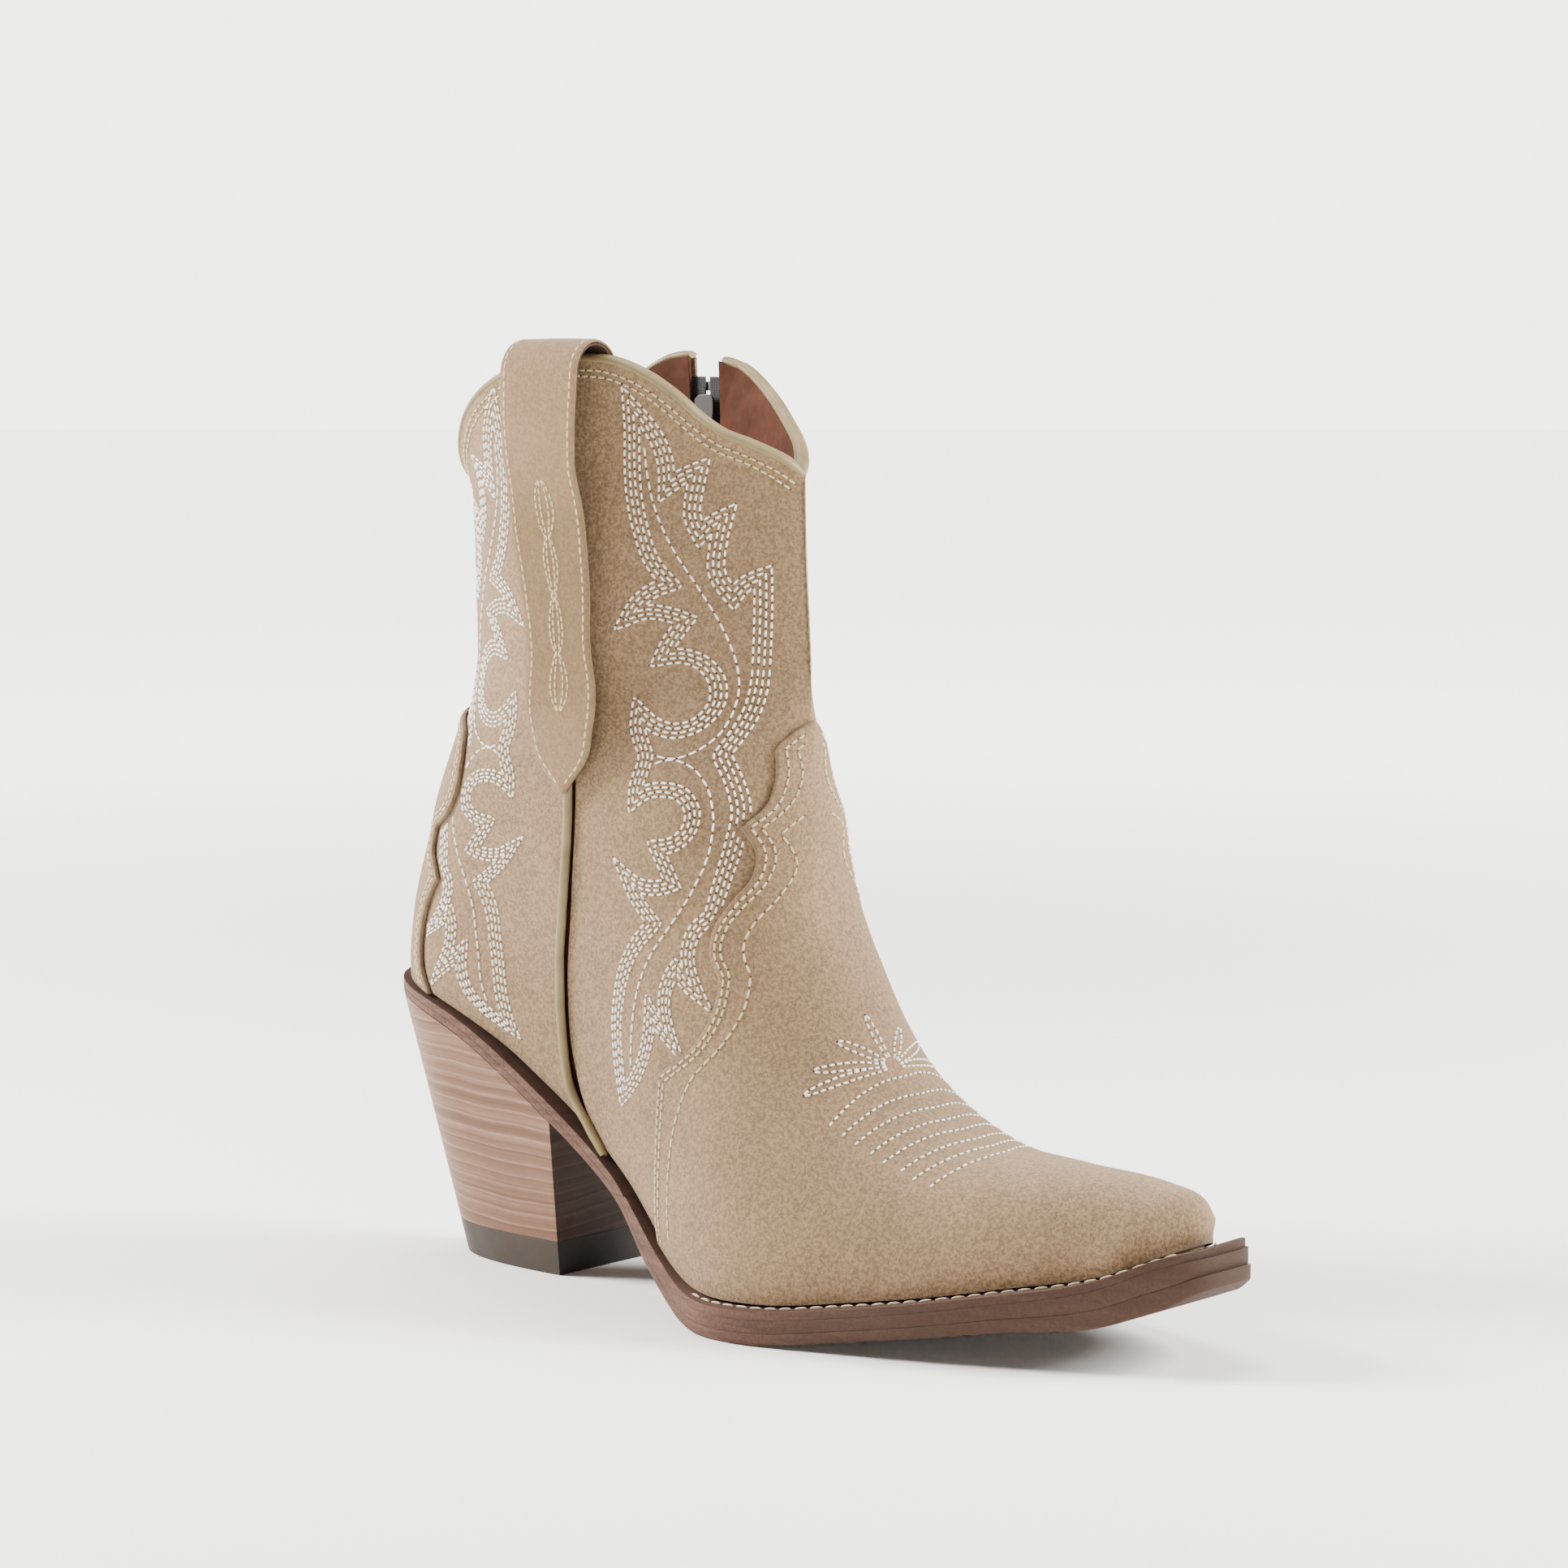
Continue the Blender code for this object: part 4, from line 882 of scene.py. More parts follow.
def embroidery(white, beige, vamp_line, counter_line):
    def sign_at(x, z, edge):
        return np.sign(side_of(np.array([x]), np.array([z]), edge)[0])

    vamp_sign = sign_at(150.0, 30.0, vamp_line)
    counter_sign = sign_at(-30.0, 100.0, counter_line)

    def off_overlays(line):
        """Whether points of an (x, z) line lie clear of the vamp and the counter."""
        on_vamp = side_of(line[:, 0], line[:, 1], vamp_line) * vamp_sign
        on_counter = side_of(line[:, 0], line[:, 1], counter_line) * counter_sign
        return (on_vamp < -0.9) & (on_counter < -0.9)

    # The band is one closed line, begun half way down its front
    split = 6
    whole = EMBROIDERED_RIGHT[split]
    runs = [whole[2:], *EMBROIDERED_RIGHT[split + 1:], *[run[::-1] for run in EMBROIDERED_LEFT[::-1]],
            *EMBROIDERED_RIGHT[:split], whole[:3]]
    band = cusped_line(runs)
    rows = [piece for shift in BAND_ROWS for piece in offset_line(band, shift)]
    singles = [smooth_line(row) for row in SINGLE_ROWS]
    edges = ((vamp_line, vamp_sign, (1.5, 2.9)), (counter_line, counter_sign, (1.4, 2.7)))
    for side in (-1, 1):
        for turn in (False, True):
            for rows_now, stitch in ((rows, BAND_STITCH), (singles, SINGLE_STITCH)):
                for row in rows_now:
                    line = mirrored(row) if turn else row
                    good = on_boot(line, side) & off_overlays(line)
                    good &= np.abs(line[:, 0] - back_x(line[:, 1])) > 2.0
                    for piece in keep_where(line, good):
                        sew(white, piece, side, ON_SHAFT, stitch, RANDOM.uniform(-0.12, 0.12))

        # Double row along each scalloped edge, and a single row further in on the vamp
        for edge, sign, shifts in edges:
            for shift in shifts:
                for row in offset_line(edge, shift) + offset_line(edge, -shift):
                    middle = row[len(row) // 2][None]
                    inside = side_of(middle[:, 0], middle[:, 1], edge)[0] * sign
                    if inside < 0:
                        continue
                    for piece in keep_where(row, on_boot(row, side)):
                        sew(beige, piece, side, ON_OVERLAY, EDGE_STITCH)
        for row in INNER_VAMP_ROW:
            line = smooth_line(row)
            for piece in keep_where(line, on_boot(line, side)):
                sew(beige, piece, side, ON_OVERLAY, VAMP_STITCH)

    # Two rows under the topline piping, all round
    for side, edge in ((-1, TOPLINE), (1, INNER_TOPLINE)):
        top = smooth_line(edge, 400)
        for drop, phase in ((2.1, 0.0), (3.7, 0.12)):
            for line in offset_line(top, -drop):
                good = (line[:, 0] > back_x(line[:, 1]) + 0.6) & (line[:, 0] < front_x(line[:, 1]) - 0.6)
                if side > 0:
                    good &= np.abs(line[:, 0] - zip_x(line[:, 1])) > ZIP_SLOT + 2.5
                for piece in keep_where(line, good):
                    sew(beige, piece, side, ON_SHAFT, TOP_STITCH, phase)
    # Beside the zip, and round its lower end
    for shift in (ZIP_SLOT + 2.0, ZIP_SLOT + 6.4):
        for sign in (-1, 1):
            z = np.linspace(ZIP_TOP[1] - 1, ZIP_BOTTOM[1] - 4, 250)
            sew(beige, np.stack([zip_x(z) + sign * shift, z], 1), 1, ON_SHAFT, ZIP_STITCH)
    x = np.linspace(-ZIP_SLOT - 6.4, ZIP_SLOT + 6.4, 40)
    low = ZIP_BOTTOM[1] - 4 - np.sqrt(1 - (x / (ZIP_SLOT + 6.5)) ** 2) * 7
    sew(beige, np.stack([zip_x(low) + x, low], 1), 1, ON_SHAFT, ZIP_STITCH)


def plan_surface():
    """Two finders of surface points and normals: straight down from plan places, and the nearest."""
    rows, columns = GRID_X.shape
    faces = []
    for i in range(rows - 1):
        for j in range(columns):
            k = (j + 1) % columns
            faces.append((i * columns + j, i * columns + k, (i + 1) * columns + k, (i + 1) * columns + j))
    tree = BVHTree.FromPolygons([tuple(p) for p in POINTS.reshape(-1, 3)], faces)

    def drop(line):
        place = []
        normal = []
        for x, y in line:
            hit, up, _, _ = tree.ray_cast(Vector((x, y, 190.0)), Vector((0, 0, -1)))
            if hit is None:
                continue
            up = np.array(up) * (1 if up.z > 0 else -1)
            place.append(np.array(hit))
            normal.append(up)
        return np.array(place), np.array(normal)

    def closest(point):
        hit, up, _, _ = tree.find_nearest(Vector(point))
        return np.array(hit), np.array(up) * (1 if up.z > 0 else -1)
    return drop, closest


def toe_bug(white):
    drop, nearest_place = plan_surface()
    centre = np.array(BUG_CENTRE)
    for tip in np.array(PETAL_TIPS):
        axis = tip - centre
        length = np.linalg.norm(axis)
        axis /= length
        _, up = nearest_place(centre + axis * length / 2)
        across = np.cross(up, axis)
        t = np.linspace(0, 1, 50)
        for sign in (-1, 1):
            half = 0.3 + 0.75 * np.sin(np.pi * np.clip(t * 0.92, 0, 1)) ** 0.8
            half[-4:] = (0.5, 0.4, 0.25, 0.1)
            line = centre + axis * (PETAL_START + (length - PETAL_START) * t)[:, None]
            line = line + across * (sign * half)[:, None]
            found = [nearest_place(point) for point in line]
            path = np.array([place + normal * 0.12 for place, normal in found])
            normals = np.array([normal for _, normal in found])
            white.along(path, normals, *PETAL_STITCH)
    for (low_x, low_y), (ridge_x, ridge_y) in BUG_ROWS:
        y = np.linspace(low_y, 2 * ridge_y - low_y, 90)
        lean = np.abs(y - ridge_y) / (ridge_y - low_y)
        x = ridge_x - (ridge_x - low_x) * lean ** 1.45
        path, normals = drop(np.stack([x, y], 1))
        path = path + normals * 0.12
        white.along(path, normals, *RIDGE_STITCH)


# ---------------------------------------------------------------- piping and strap
def tube(name, path, normals, radius, mat, **place):
    """A cord along a path."""
    run = np.gradient(path, axis=0)
    run /= np.linalg.norm(run, axis=1)[:, None]
    across = np.cross(normals, run)
    across /= np.linalg.norm(across, axis=1)[:, None]
    up = np.cross(run, across)
    turns = np.linspace(0, 2 * np.pi, 14, endpoint=False)
    rings = []
    for p, a, n in zip(path, across, up):
        rings.append([p + (a * math.cos(t) + n * math.sin(t)) * radius for t in turns])
    return loft(name, rings, mat, **place)


def pipings(mats):
    # Rolled binding over the top edge, open at the zip
    edge = POINTS[-1]
    run = np.roll(edge, -1, 0) - np.roll(edge, 1, 0)
    rise = np.cross(run, NORMALS[-1])
    rise /= np.linalg.norm(rise, axis=1)[:, None]
    rise *= np.sign(rise[:, 2:])
    beside = np.abs(edge[:, 0] - zip_x(edge[:, 2])) > ZIP_SLOT
    kept = np.where(beside | (edge[:, 1] < 0))[0]
    first = np.where(np.diff(kept) > 1)[0][0] + 1
    kept = np.roll(kept, -first)
    inward, lift = -3.35, 0.65
    section = [(2.1 * math.cos(a), 1.2 * math.sin(a)) for a in np.radians(np.linspace(0, 360, 29)[:-1])]
    rings = []
    total = len(kept)
    for number, index in enumerate(kept):
        # The binding's ends are folded in and a little smaller
        end = min(number, total - 1 - number)
        shrink = 1.0 if end > 2 else (0.72, 0.9, 0.97)[end]
        ring = []
        for out, up in section:
            ring.append(edge[index] + NORMALS[-1][index] * (inward + out * shrink)
                        + rise[index] * (up * shrink + lift))
        rings.append(ring)
    loft("topline_binding", rings, mats["piping"], slot="piping_leather", sharp=60,
         replaces=["topline_piping"])

    for name, side in (("outer", -1), ("inner", 1)):
        path = PIPED_SEAM if side < 0 else [(36.7, 96.5), (35.6, 91), *PIPED_SEAM[4:]]
        line = smooth_line(path, pitch=0.8)
        place, normals = lay(line, side, -0.45)
        # The cord lies a little unevenly
        s = chord_of(place)
        swell = 1 + 0.03 * np.sin(s * 0.9) + 0.03 * np.sin(s * 0.37 + 1)
        tube(f"side_cord_{name}", place + normals * (swell - 1)[:, None], normals, 1.25, mats["piping"],
             slot="piping_leather", replaces=[f"side_piping_{name}"])


def strap(mats, beige):
    x, z, half, lift = (np.array(column, float) for column in zip(*STRAP))
    chord = np.concatenate([[0], np.cumsum(np.hypot(np.diff(x), np.diff(z)))])
    at = np.concatenate([np.linspace(0, 12, 16), np.linspace(12.8, chord[-1], 90)])
    x, z, half, lift = (hermite(chord, column, at) for column in (x, z, half, lift))
    centre, normal = surface(x, z, -1)
    frames = []
    for c, n, h, bottom in zip(centre, normal, half, lift):
        across = np.cross(n, (0, 0, 1.0))
        across /= np.linalg.norm(across)
        # Where it stands off the leg it is flat
        flat = float(smoothstep((c[2] - 195) / 22))
        across = across * (1 - flat) + np.array((-1.0, 0, 0)) * flat
        across /= np.linalg.norm(across)
        n = np.cross(across, (0, 0, -1.0)) * flat + n * (1 - flat)
        n /= np.linalg.norm(n)
        frames.append((c + n * bottom, across, n, h))
    across = np.array((-1.0, 0, 0))
    top_y = centre[-1][1]
    outside = top_y - lift[-1]
    inside = top_y + STRAP_REACH
    middle = (outside + inside) / 2
    radius = (inside - outside) / 2
    rise = STRAP_RISE - STRAP_THICKNESS - z[-1]
    for angle in np.radians(np.linspace(8, 172, 24)):
        out = np.array((0, -math.cos(angle), math.sin(angle) * rise / radius))
        place = np.array((x[-1], middle, z[-1])) + np.array(
            (0, -math.cos(angle) * radius, math.sin(angle) * rise))
        frames.append((place, across, out / np.linalg.norm(out), half[-1]))
    for drop in np.linspace(0.0, 1.0, 24):
        level = z[-1] - STRAP_INSIDE * drop
        base, _ = surface(x[-1], level, -1)
        place = np.array((x[-1], base[0][1] + STRAP_REACH, level))
        frames.append((place, across, np.array((0, 1.0, 0)), half[-1] - 3 * drop))
    # Two layers of suede with rounded cut edges
    across_share = np.array((-1, -0.97, -0.9, -0.75, -0.5, -0.25, 0, 0.25, 0.5, 0.75, 0.9, 0.97, 1))
    # The back layer's dark colour is partly its own and partly painted shade under the strap
    for name, low, high, mat, inset in (("pull_strap_face", 0.82, 1.6, "strap", 0.0),
                                        ("pull_strap_back", 0.0, 0.8, "strap_back", 0.35)):
        rings = []
        for place, a, n, h in frames:
            ring = []
            width = max(h - inset, 0.5)
            margin = np.minimum(width * (1 - np.abs(across_share)), 1.0)
            puff = 0.22 * (1 - across_share**2)
            for share, m in zip(across_share, margin):
                ring.append(place + a * width * share + n * (low + 0.12 * (1 - m)))
            for share, m, p in zip(across_share[::-1], margin[::-1], puff[::-1]):
                ring.append(place + a * width * share + n * (high - 0.3 * (1 - m) ** 2 + p))
            rings.append(ring)
        loft(name, rings, mats[mat], slot="strap_suede", sharp=50,
             replaces=["pull_strap"] if low else ())
    # Stitches along both edges
    outer = np.array([place + n * (STRAP_THICKNESS - 0.02) for place, a, n, h in frames])
    ups = np.array([n for _, _, n, _ in frames])
    sideways = np.array([a * max(h - 1.7, 0.2) for _, a, _, h in frames])
    for sign in (-1, 1):
        beige.along(outer[3:] + sign * sideways[3:], ups[3:], *STRAP_STITCH)
    # A chain of stitched diamonds down its middle
    s = chord_of(outer)
    z_of = outer[:, 2]
    upper_end, lower_end = 212.0, 152.0
    front = np.arange(len(outer)) < 106
    chain = np.where((z_of < upper_end) & (z_of > lower_end) & front)[0]
    along = s[chain] - s[chain][0]
    share = along / along[-1]
    links = np.abs(np.sin(np.pi * share * 4)) ** 0.75
    wave_width = (1.0 + 1.5 * np.abs(2 * share - 1)) * links + 0.45
    for scale in (1.0, 0.45):
        for sign in (-1, 1):
            lateral = np.array([frames[i][1] for i in chain]) * (sign * scale * wave_width)[:, None]
            beige.along(outer[chain] + lateral + ups[chain] * 0.22, ups[chain], *CHAIN_STITCH)


# ---------------------------------------------------------------- sole and heel
sole_width = smooth_function(SOLE_WIDTH)


def sole_half(x, inset=0.0, short=0.0):
    """Half the sole's width; short is how far a layer's toe stops before the sole's tip."""
    width = sole_width(x) - inset
    back = bulge((x - SOLE_BACK - inset) / 31, 2.2)
    tip = bulge((SOLE_TIP - short - inset - x) / 5.0, 2.8)
    return np.maximum(width * back * tip, 0.05)


def layer_tops(x):
    """Heights of the top of the welt, midsole and outsole, and of the sole's bottom."""
    to_tread = smoothstep((x - 50) / 45)
    to_waist = smoothstep((x + 40) / 60)
    mid = MIDSOLE[0] + (MIDSOLE[1] - MIDSOLE[0]) * to_waist + (MIDSOLE[2] - MIDSOLE[1]) * to_tread
    out = OUTSOLE[0] + (OUTSOLE[1] - OUTSOLE[0]) * to_waist + (OUTSOLE[2] - OUTSOLE[1]) * to_tread
    top = feather_z(x) - SEAT_CLEARANCE
    midsole_top = top - (WELT + 0.3) * smoothstep((x - 52) / 16)
    outsole_top = midsole_top - mid - 0.3
    # The outsole thickens toward the toe and turns up at its tip
    toe = 1.4 * smoothstep((x - 145) / 55) + 2.9 * smoothstep((x - 175) / 40)
    toe -= 3.2 * smoothstep((x - 211) / 11)
    return top, midsole_top, outsole_top - 0.45 * toe, outsole_top - out - toe


def slab(name, start, end, top, bottom, mat, chamfer, short=0.0, **place):
    """A sole layer between two heights that depend on x, with eased edges."""
    share = (1 - np.cos(np.pi * np.linspace(0, 1, 260))) / 2
    x = start + (end - start) * share
    rings = []
    for v in x:
        half = float(sole_half(v, short=short))
        middle = float(spine(v))
        low, high = float(bottom(v)), float(top(v))
        up, down = chamfer
        up, down = min(up, half / 2), min(down, half / 2)
        ring = []
        for sign in (1, -1):
            side = [(half - down, low), (half - down * 0.3, low + down * 0.3), (half, low + down),
                    (half, (low + high) / 2), (half, high - up), (half - up * 0.3, high - up * 0.3),
                    (half - up, high)]
            side = side if sign > 0 else side[::-1]
            ring += [(v, middle + sign * w, h) for w, h in side]
        rings.append(ring)
    return loft(name, rings, mat, sharp=45, **place)


def sole(mats, beige):
    slab("outsole_leather", SOLE_BACK + 0.02, SOLE_TIP - 0.02, lambda x: layer_tops(x)[2] + 0.14,
         lambda x: layer_tops(x)[3], mats["sole"], chamfer=(0.18, 0.5), slot="sole_leather",
         replaces=["outsole"])
    slab("midsole_leather", SOLE_BACK + 0.02, SOLE_TIP - MIDSOLE_SHORT - 0.02,
         lambda x: layer_tops(x)[1] + 0.13 * smoothstep((x - 52) / 16),
         lambda x: layer_tops(x)[2] + 0.16,
         mats["sole"], chamfer=(0.15, 0.18), short=MIDSOLE_SHORT, slot="sole_leather",
         replaces=["midsole"])
    # Welt: a strip round the forepart
    start = 58.0
    tip = SOLE_TIP - WELT_SHORT - 0.02
    x = start + (tip - start) * (1 - np.cos(np.pi * np.linspace(0, 1, 200))) / 2
    half = sole_half(x, short=WELT_SHORT)
    left = np.stack([x, spine(x) - half, np.zeros_like(x)], 1)
    right = np.stack([x, spine(x) + half, np.zeros_like(x)], 1)[::-1]
    outline = np.concatenate([left, right])
    inner = []
    for v in x:
        inset = min(v, SOLE_TIP - 12)
        inner.append((inset, spine(inset) - max(float(sole_half(inset, 9.0)), 1.5), 0))
    inner = np.array(inner)
    other = inner[::-1].copy()
    other[:, 1] = 2 * spine(other[:, 0]) - other[:, 1]
    inner = np.concatenate([inner, other])
    rings = []
    for out_point, in_point in zip(outline, inner):
        inward = in_point - out_point
        inward /= np.linalg.norm(inward)
        top, mid_top, _, _ = layer_tops(out_point[0])
        top_in, mid_in, _, _ = layer_tops(in_point[0])
        thin = max(top - mid_top, 0.32)
        low = top - thin + 0.15
        ring = []
        for step, level in ((0.0, low), (0.0, top - 0.5 * min(thin, 1)), (0.12, top - 0.12), (0.5, top)):
            place = out_point + inward * step
            ring.append((place[0], place[1], level))
        ring.append((in_point[0], in_point[1], top_in))
        ring.append((in_point[0], in_point[1], min(mid_in + 0.15, top_in - 0.2)))
        rings.append(ring)
    loft("welt_strip", rings, mats["sole"], sharp=50, slot="welt_leather", replaces=["welt"])

    # Welt stitches, close to the upper
    x = np.linspace(92, 211, 520)
    for sign in (-1, 1):
        upper_half = half_width(x, feather_z(x) + 2.5)
        edge_half = sole_half(x, short=WELT_SHORT)
        at = np.minimum(upper_half + 1.0, edge_half - 0.8)
        path = np.stack([x, spine(x) + sign * at, layer_tops(x)[0] + 0.12], 1)
        slope = np.gradient(path[:, 2], x)
        normals = np.stack([-slope, np.zeros_like(x), np.ones_like(x)], 1)
        normals /= np.linalg.norm(normals, axis=1)[:, None]
        beige.along(path, normals, *WELT_STITCH, bow=0.4)


def seat_z(x):
    return layer_tops(x)[3] - GAP


# Turns round the heel from breast to breast, and where its outline meets the seat
HEEL_TURNS = np.linspace(-np.pi / 2, np.pi / 2, 97)
HEEL_HEAD_X = HEEL_BREAST[1] + (SOLE_BACK + 0.15 - HEEL_BREAST[1]) * np.abs(np.cos(HEEL_TURNS)) ** 0.9


def heel_outline(level, grow=0.0):
    """The heel's outline at a height, worked from a D shape on the ground to the sole's at the seat."""
    back = np.abs(np.cos(HEEL_TURNS)) ** (2 / HEEL_ROUNDNESS)
    flank = np.sign(HEEL_TURNS) * np.abs(np.sin(HEEL_TURNS)) ** (2 / HEEL_ROUNDNESS)
    foot = np.stack([HEEL_BREAST[0] + (HEEL_BACK[0] - HEEL_BREAST[0]) * back, HEEL_HALF[0] * flank], 1)
    half = sole_half(HEEL_HEAD_X) - 0.1
    head = np.stack([HEEL_HEAD_X, spine(HEEL_HEAD_X) + np.sign(HEEL_TURNS) * half], 1)
    share = np.clip(level / seat_z(HEEL_HEAD_X), 0, 1)
    place = foot + (head - foot) * share[:, None]
    middle = np.array((place[:, 0].mean(), 0))
    away = place - middle
    away /= np.linalg.norm(away, axis=1)[:, None]
    return place + away * grow


def heel(mats, lift_nodes):
    """Top lift and the stack of lifts."""
    rings = []
    for level, grow in ((0.0, -0.45), (0.25, -0.1), (0.7, 0.0), (TOP_LIFT - 0.6, 0.0),
                        (TOP_LIFT - 0.1, -0.06), (TOP_LIFT + 0.1, -0.3)):
        rings.append([(px, py, level) for px, py in heel_outline(level, grow)])
    loft("top_lift_rubber", rings, mats["rubber"], slot="top_lift_rubber", replaces=["top_lift"])

    # The stack: rings from the top lift up to the sloping seat
    bottom = TOP_LIFT + 0.12
    top = seat_z(HEEL_HEAD_X) + 0.3
    rings = []
    for step in range(65):
        level = bottom + (top - bottom) * (step / 64)
        rings.append(np.concatenate([heel_outline(level), level[:, None]], 1))
    loft("heel_stack", rings, mats["stack"], slot="stacked_leather", replaces=lift_nodes, sharp=50)


# ---------------------------------------------------------------- zip
def zip_line():
    """The zip's two ends, and its directions: down, out of the leg and to the front."""
    ends = []
    for x, z in (ZIP_TOP, ZIP_BOTTOM):
        place, _ = surface(x, z, 1)
        ends.append(place[0])
    top, bottom = ends
    down = (bottom - top) / np.linalg.norm(bottom - top)
    out = np.array((0, 1.0, 0))
    out -= down * np.dot(out, down)
    out /= np.linalg.norm(out)
    across = np.cross(down, out)
    return top, bottom, down, out, across if across[0] > 0 else -across


def box_points(middle, axes, sizes, taper=1.0):
    points = []
    for i in (-1, 1):
        for j in (-1, 1):
            for k in (-1, 1):
                narrow = taper if i > 0 else 1.0
                points.append(np.array(middle) + axes[0] * i * sizes[0] / 2
                              + axes[1] * j * sizes[1] / 2 * narrow + axes[2] * k * sizes[2] / 2 * narrow)
    return points


BOX_FACES = [(0, 1, 3, 2), (4, 6, 7, 5), (0, 4, 5, 1), (2, 3, 7, 6), (0, 2, 6, 4), (1, 5, 7, 3)]


def bevelled(made, width):
    change = made.modifiers.new("edges", "BEVEL")
    change.width = width * MM
    change.segments = 2
    change.limit_method = "ANGLE"


def dress(node, mat):
    """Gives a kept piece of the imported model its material."""
    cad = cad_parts[node]
    cad.data.materials.clear()
    cad.data.materials.append(mat)


def zips(mats):
    top, bottom, down, out, across = zip_line()
    length = float(np.linalg.norm(bottom - top))
    for name, side in (("front", 1), ("back", -1)):
        points = []
        faces = []
        along = 3.0 + (0 if side > 0 else TOOTH_PITCH / 2)
        while along < length - 3.2:
            middle = top + across * side * TOOTH_MIDDLE + out * TOOTH_DEPTH + down * along
            first = len(points)
            points += box_points(middle, (-side * across, out, down), TOOTH_SIZE, 0.82)
            faces += [tuple(first + v for v in (f if side > 0 else f[::-1])) for f in BOX_FACES]
            along += TOOTH_PITCH
        made = add_object(f"zip_tooth_row_{name}", points, faces, mats["gunmetal"], slot="gunmetal",
                          replaces=[f"zip_teeth_{name}"])
        bevelled(made, 0.22)
        dress(f"zip_top_stop_{name}", mats["gunmetal"])
        dress(f"zip_tape_{name}", mats["tape"])


def plate(outlines, thickness, bevel):
    """A flat metal plate with eased edges from closed outlines; inner outlines are holes."""
    data = bpy.data.curves.new("outline", "CURVE")
    data.dimensions = "2D"
    data.fill_mode = "BOTH"
    data.extrude = thickness / 2 - bevel
    data.bevel_depth = bevel
    data.offset = -bevel
    data.bevel_resolution = 2
    for outline in outlines:
        spline = data.splines.new("POLY")
        spline.points.add(len(outline) - 1)
        for point, (x, y) in zip(spline.points, outline):
            point.co = (x, y, 0, 1)
        spline.use_cyclic_u = True
    holder = bpy.data.objects.new("outline", data)
    mesh = bpy.data.meshes.new_from_object(holder)
    points = np.array([tuple(v.co) for v in mesh.vertices])
    faces = [tuple(p.vertices) for p in mesh.polygons]
    bpy.data.meshes.remove(mesh)
    bpy.data.objects.remove(holder)
    bpy.data.curves.remove(data)
    return points, faces


def rounded_outline(knots, count=64):
    """A smooth closed outline, symmetric about the long axis, from (along, half width) knots."""
    right = smooth_line([(along, half) for along, half in knots], count)
    left = right[::-1][1:-1] * (1, -1)
    return np.concatenate([right, left])


def circle(along, radius):
    turns = np.linspace(0, 2 * np.pi, 24, endpoint=False)
    return np.stack([along + radius * np.cos(turns), radius * np.sin(turns)], 1)


def slider_and_pull(mats):
    top, _, down, out, across = zip_line()

    def placed(points, origin):
        return origin + points[:, :1] * down + points[:, 1:2] * across + points[:, 2:3] * out

    centre = top + down * SLIDER_AT
    parts = []
    face = rounded_outline([(-5.5, 0.0), (-5.4, 2.6), (-4.6, 4.0), (-2.0, 4.3), (1.5, 3.7), (4.4, 2.8),
                            (5.4, 2.2), (5.5, 0.0)])
    points, faces = plate([face], 1.1, 0.22)
    parts.append((placed(points, centre), faces))
    points, faces = plate([face * (1.0, 0.77)], 0.8, 0.18)
    parts.append((placed(points, centre - out * 5.25), faces))
    # The bridge that carries the pull
    rings = []
    for turn in np.radians(np.linspace(0, 180, 19)):
        lift = 0.3 + 1.45 * math.sin(turn) ** 0.7
        middle = centre - down * (3.6 * math.cos(turn)) + out * lift
        outward = out * math.sin(turn) - down * math.cos(turn)
        width = 1.55 - 0.3 * math.cos(turn) ** 2
        rings.append([middle + across * width + outward * 0.3, middle - across * width + outward * 0.3,
                      middle - across * width - outward * 0.3, middle + across * width - outward * 0.3])
    made = loft("zip_slider_bridge", rings, mats["gunmetal"], ride="slider", slot="gunmetal", sharp=40)
    bevelled(made, 0.15)
    for number, (points, faces) in enumerate(parts):
        add_object(f"zip_slider_plate_{number + 1}", points, faces, mats["gunmetal"], ride="slider",
                   slot="gunmetal", sharp=35, replaces=["zip_slider"] if number == 0 else ())

    body = rounded_outline([(-1.5, 0.0), (-1.3, 1.0), (-0.2, 1.75), (3.0, 1.8), (6.0, 1.9), (11.0, 2.6),
                            (15.5, 3.0), (18.6, 2.5), (19.8, 1.3), (20.0, 0.0)], 90)
    window = rounded_outline([(9.4, 0.0), (9.8, 0.8), (12.0, 1.25), (15.5, 1.5), (16.6, 1.0),
                              (17.0, 0.0)], 40)
    points, faces = plate([body, circle(0.55, 0.75), window[::-1]], 1.05, 0.2)
    add_object("zip_pull_tab", placed(points, np.array(EYE)), faces, mats["gunmetal"], ride="pull",
               slot="gunmetal", sharp=35, replaces=["zip_pull"])


# ---------------------------------------------------------------- stage
def rest_of_cad(mats):
    looks = {"insole_board": "board", "sock_liner": "lining", "bottom_filler": "cork",
             "steel_shank": "steel", "heel_screw": "steel", "heel_stiffener": "board",
             "toe_puff": "board", "zip_bottom_stop": "gunmetal"}
    looks.update({f"heel_nail_{n}": "steel" for n in range(1, 6)})
    for node, look in looks.items():
        dress(node, mats[look])


def camera():
    a, e = math.radians(AZIMUTH), math.radians(ELEVATION)
    back = Vector((math.sin(a) * math.cos(e), -math.cos(a) * math.cos(e), math.sin(e)))
    data = bpy.data.cameras.new("camera")
    data.lens = LENS
    data.sensor_width = 36
    data.clip_end = 20
    made = bpy.data.objects.new("camera", data)
    made.location = (Vector(TARGET) + back * DISTANCE) * MM
    made.rotation_euler = back.to_track_quat("Z", "Y").to_euler()
    bpy.context.scene.collection.objects.link(made)
    bpy.context.scene.camera = made


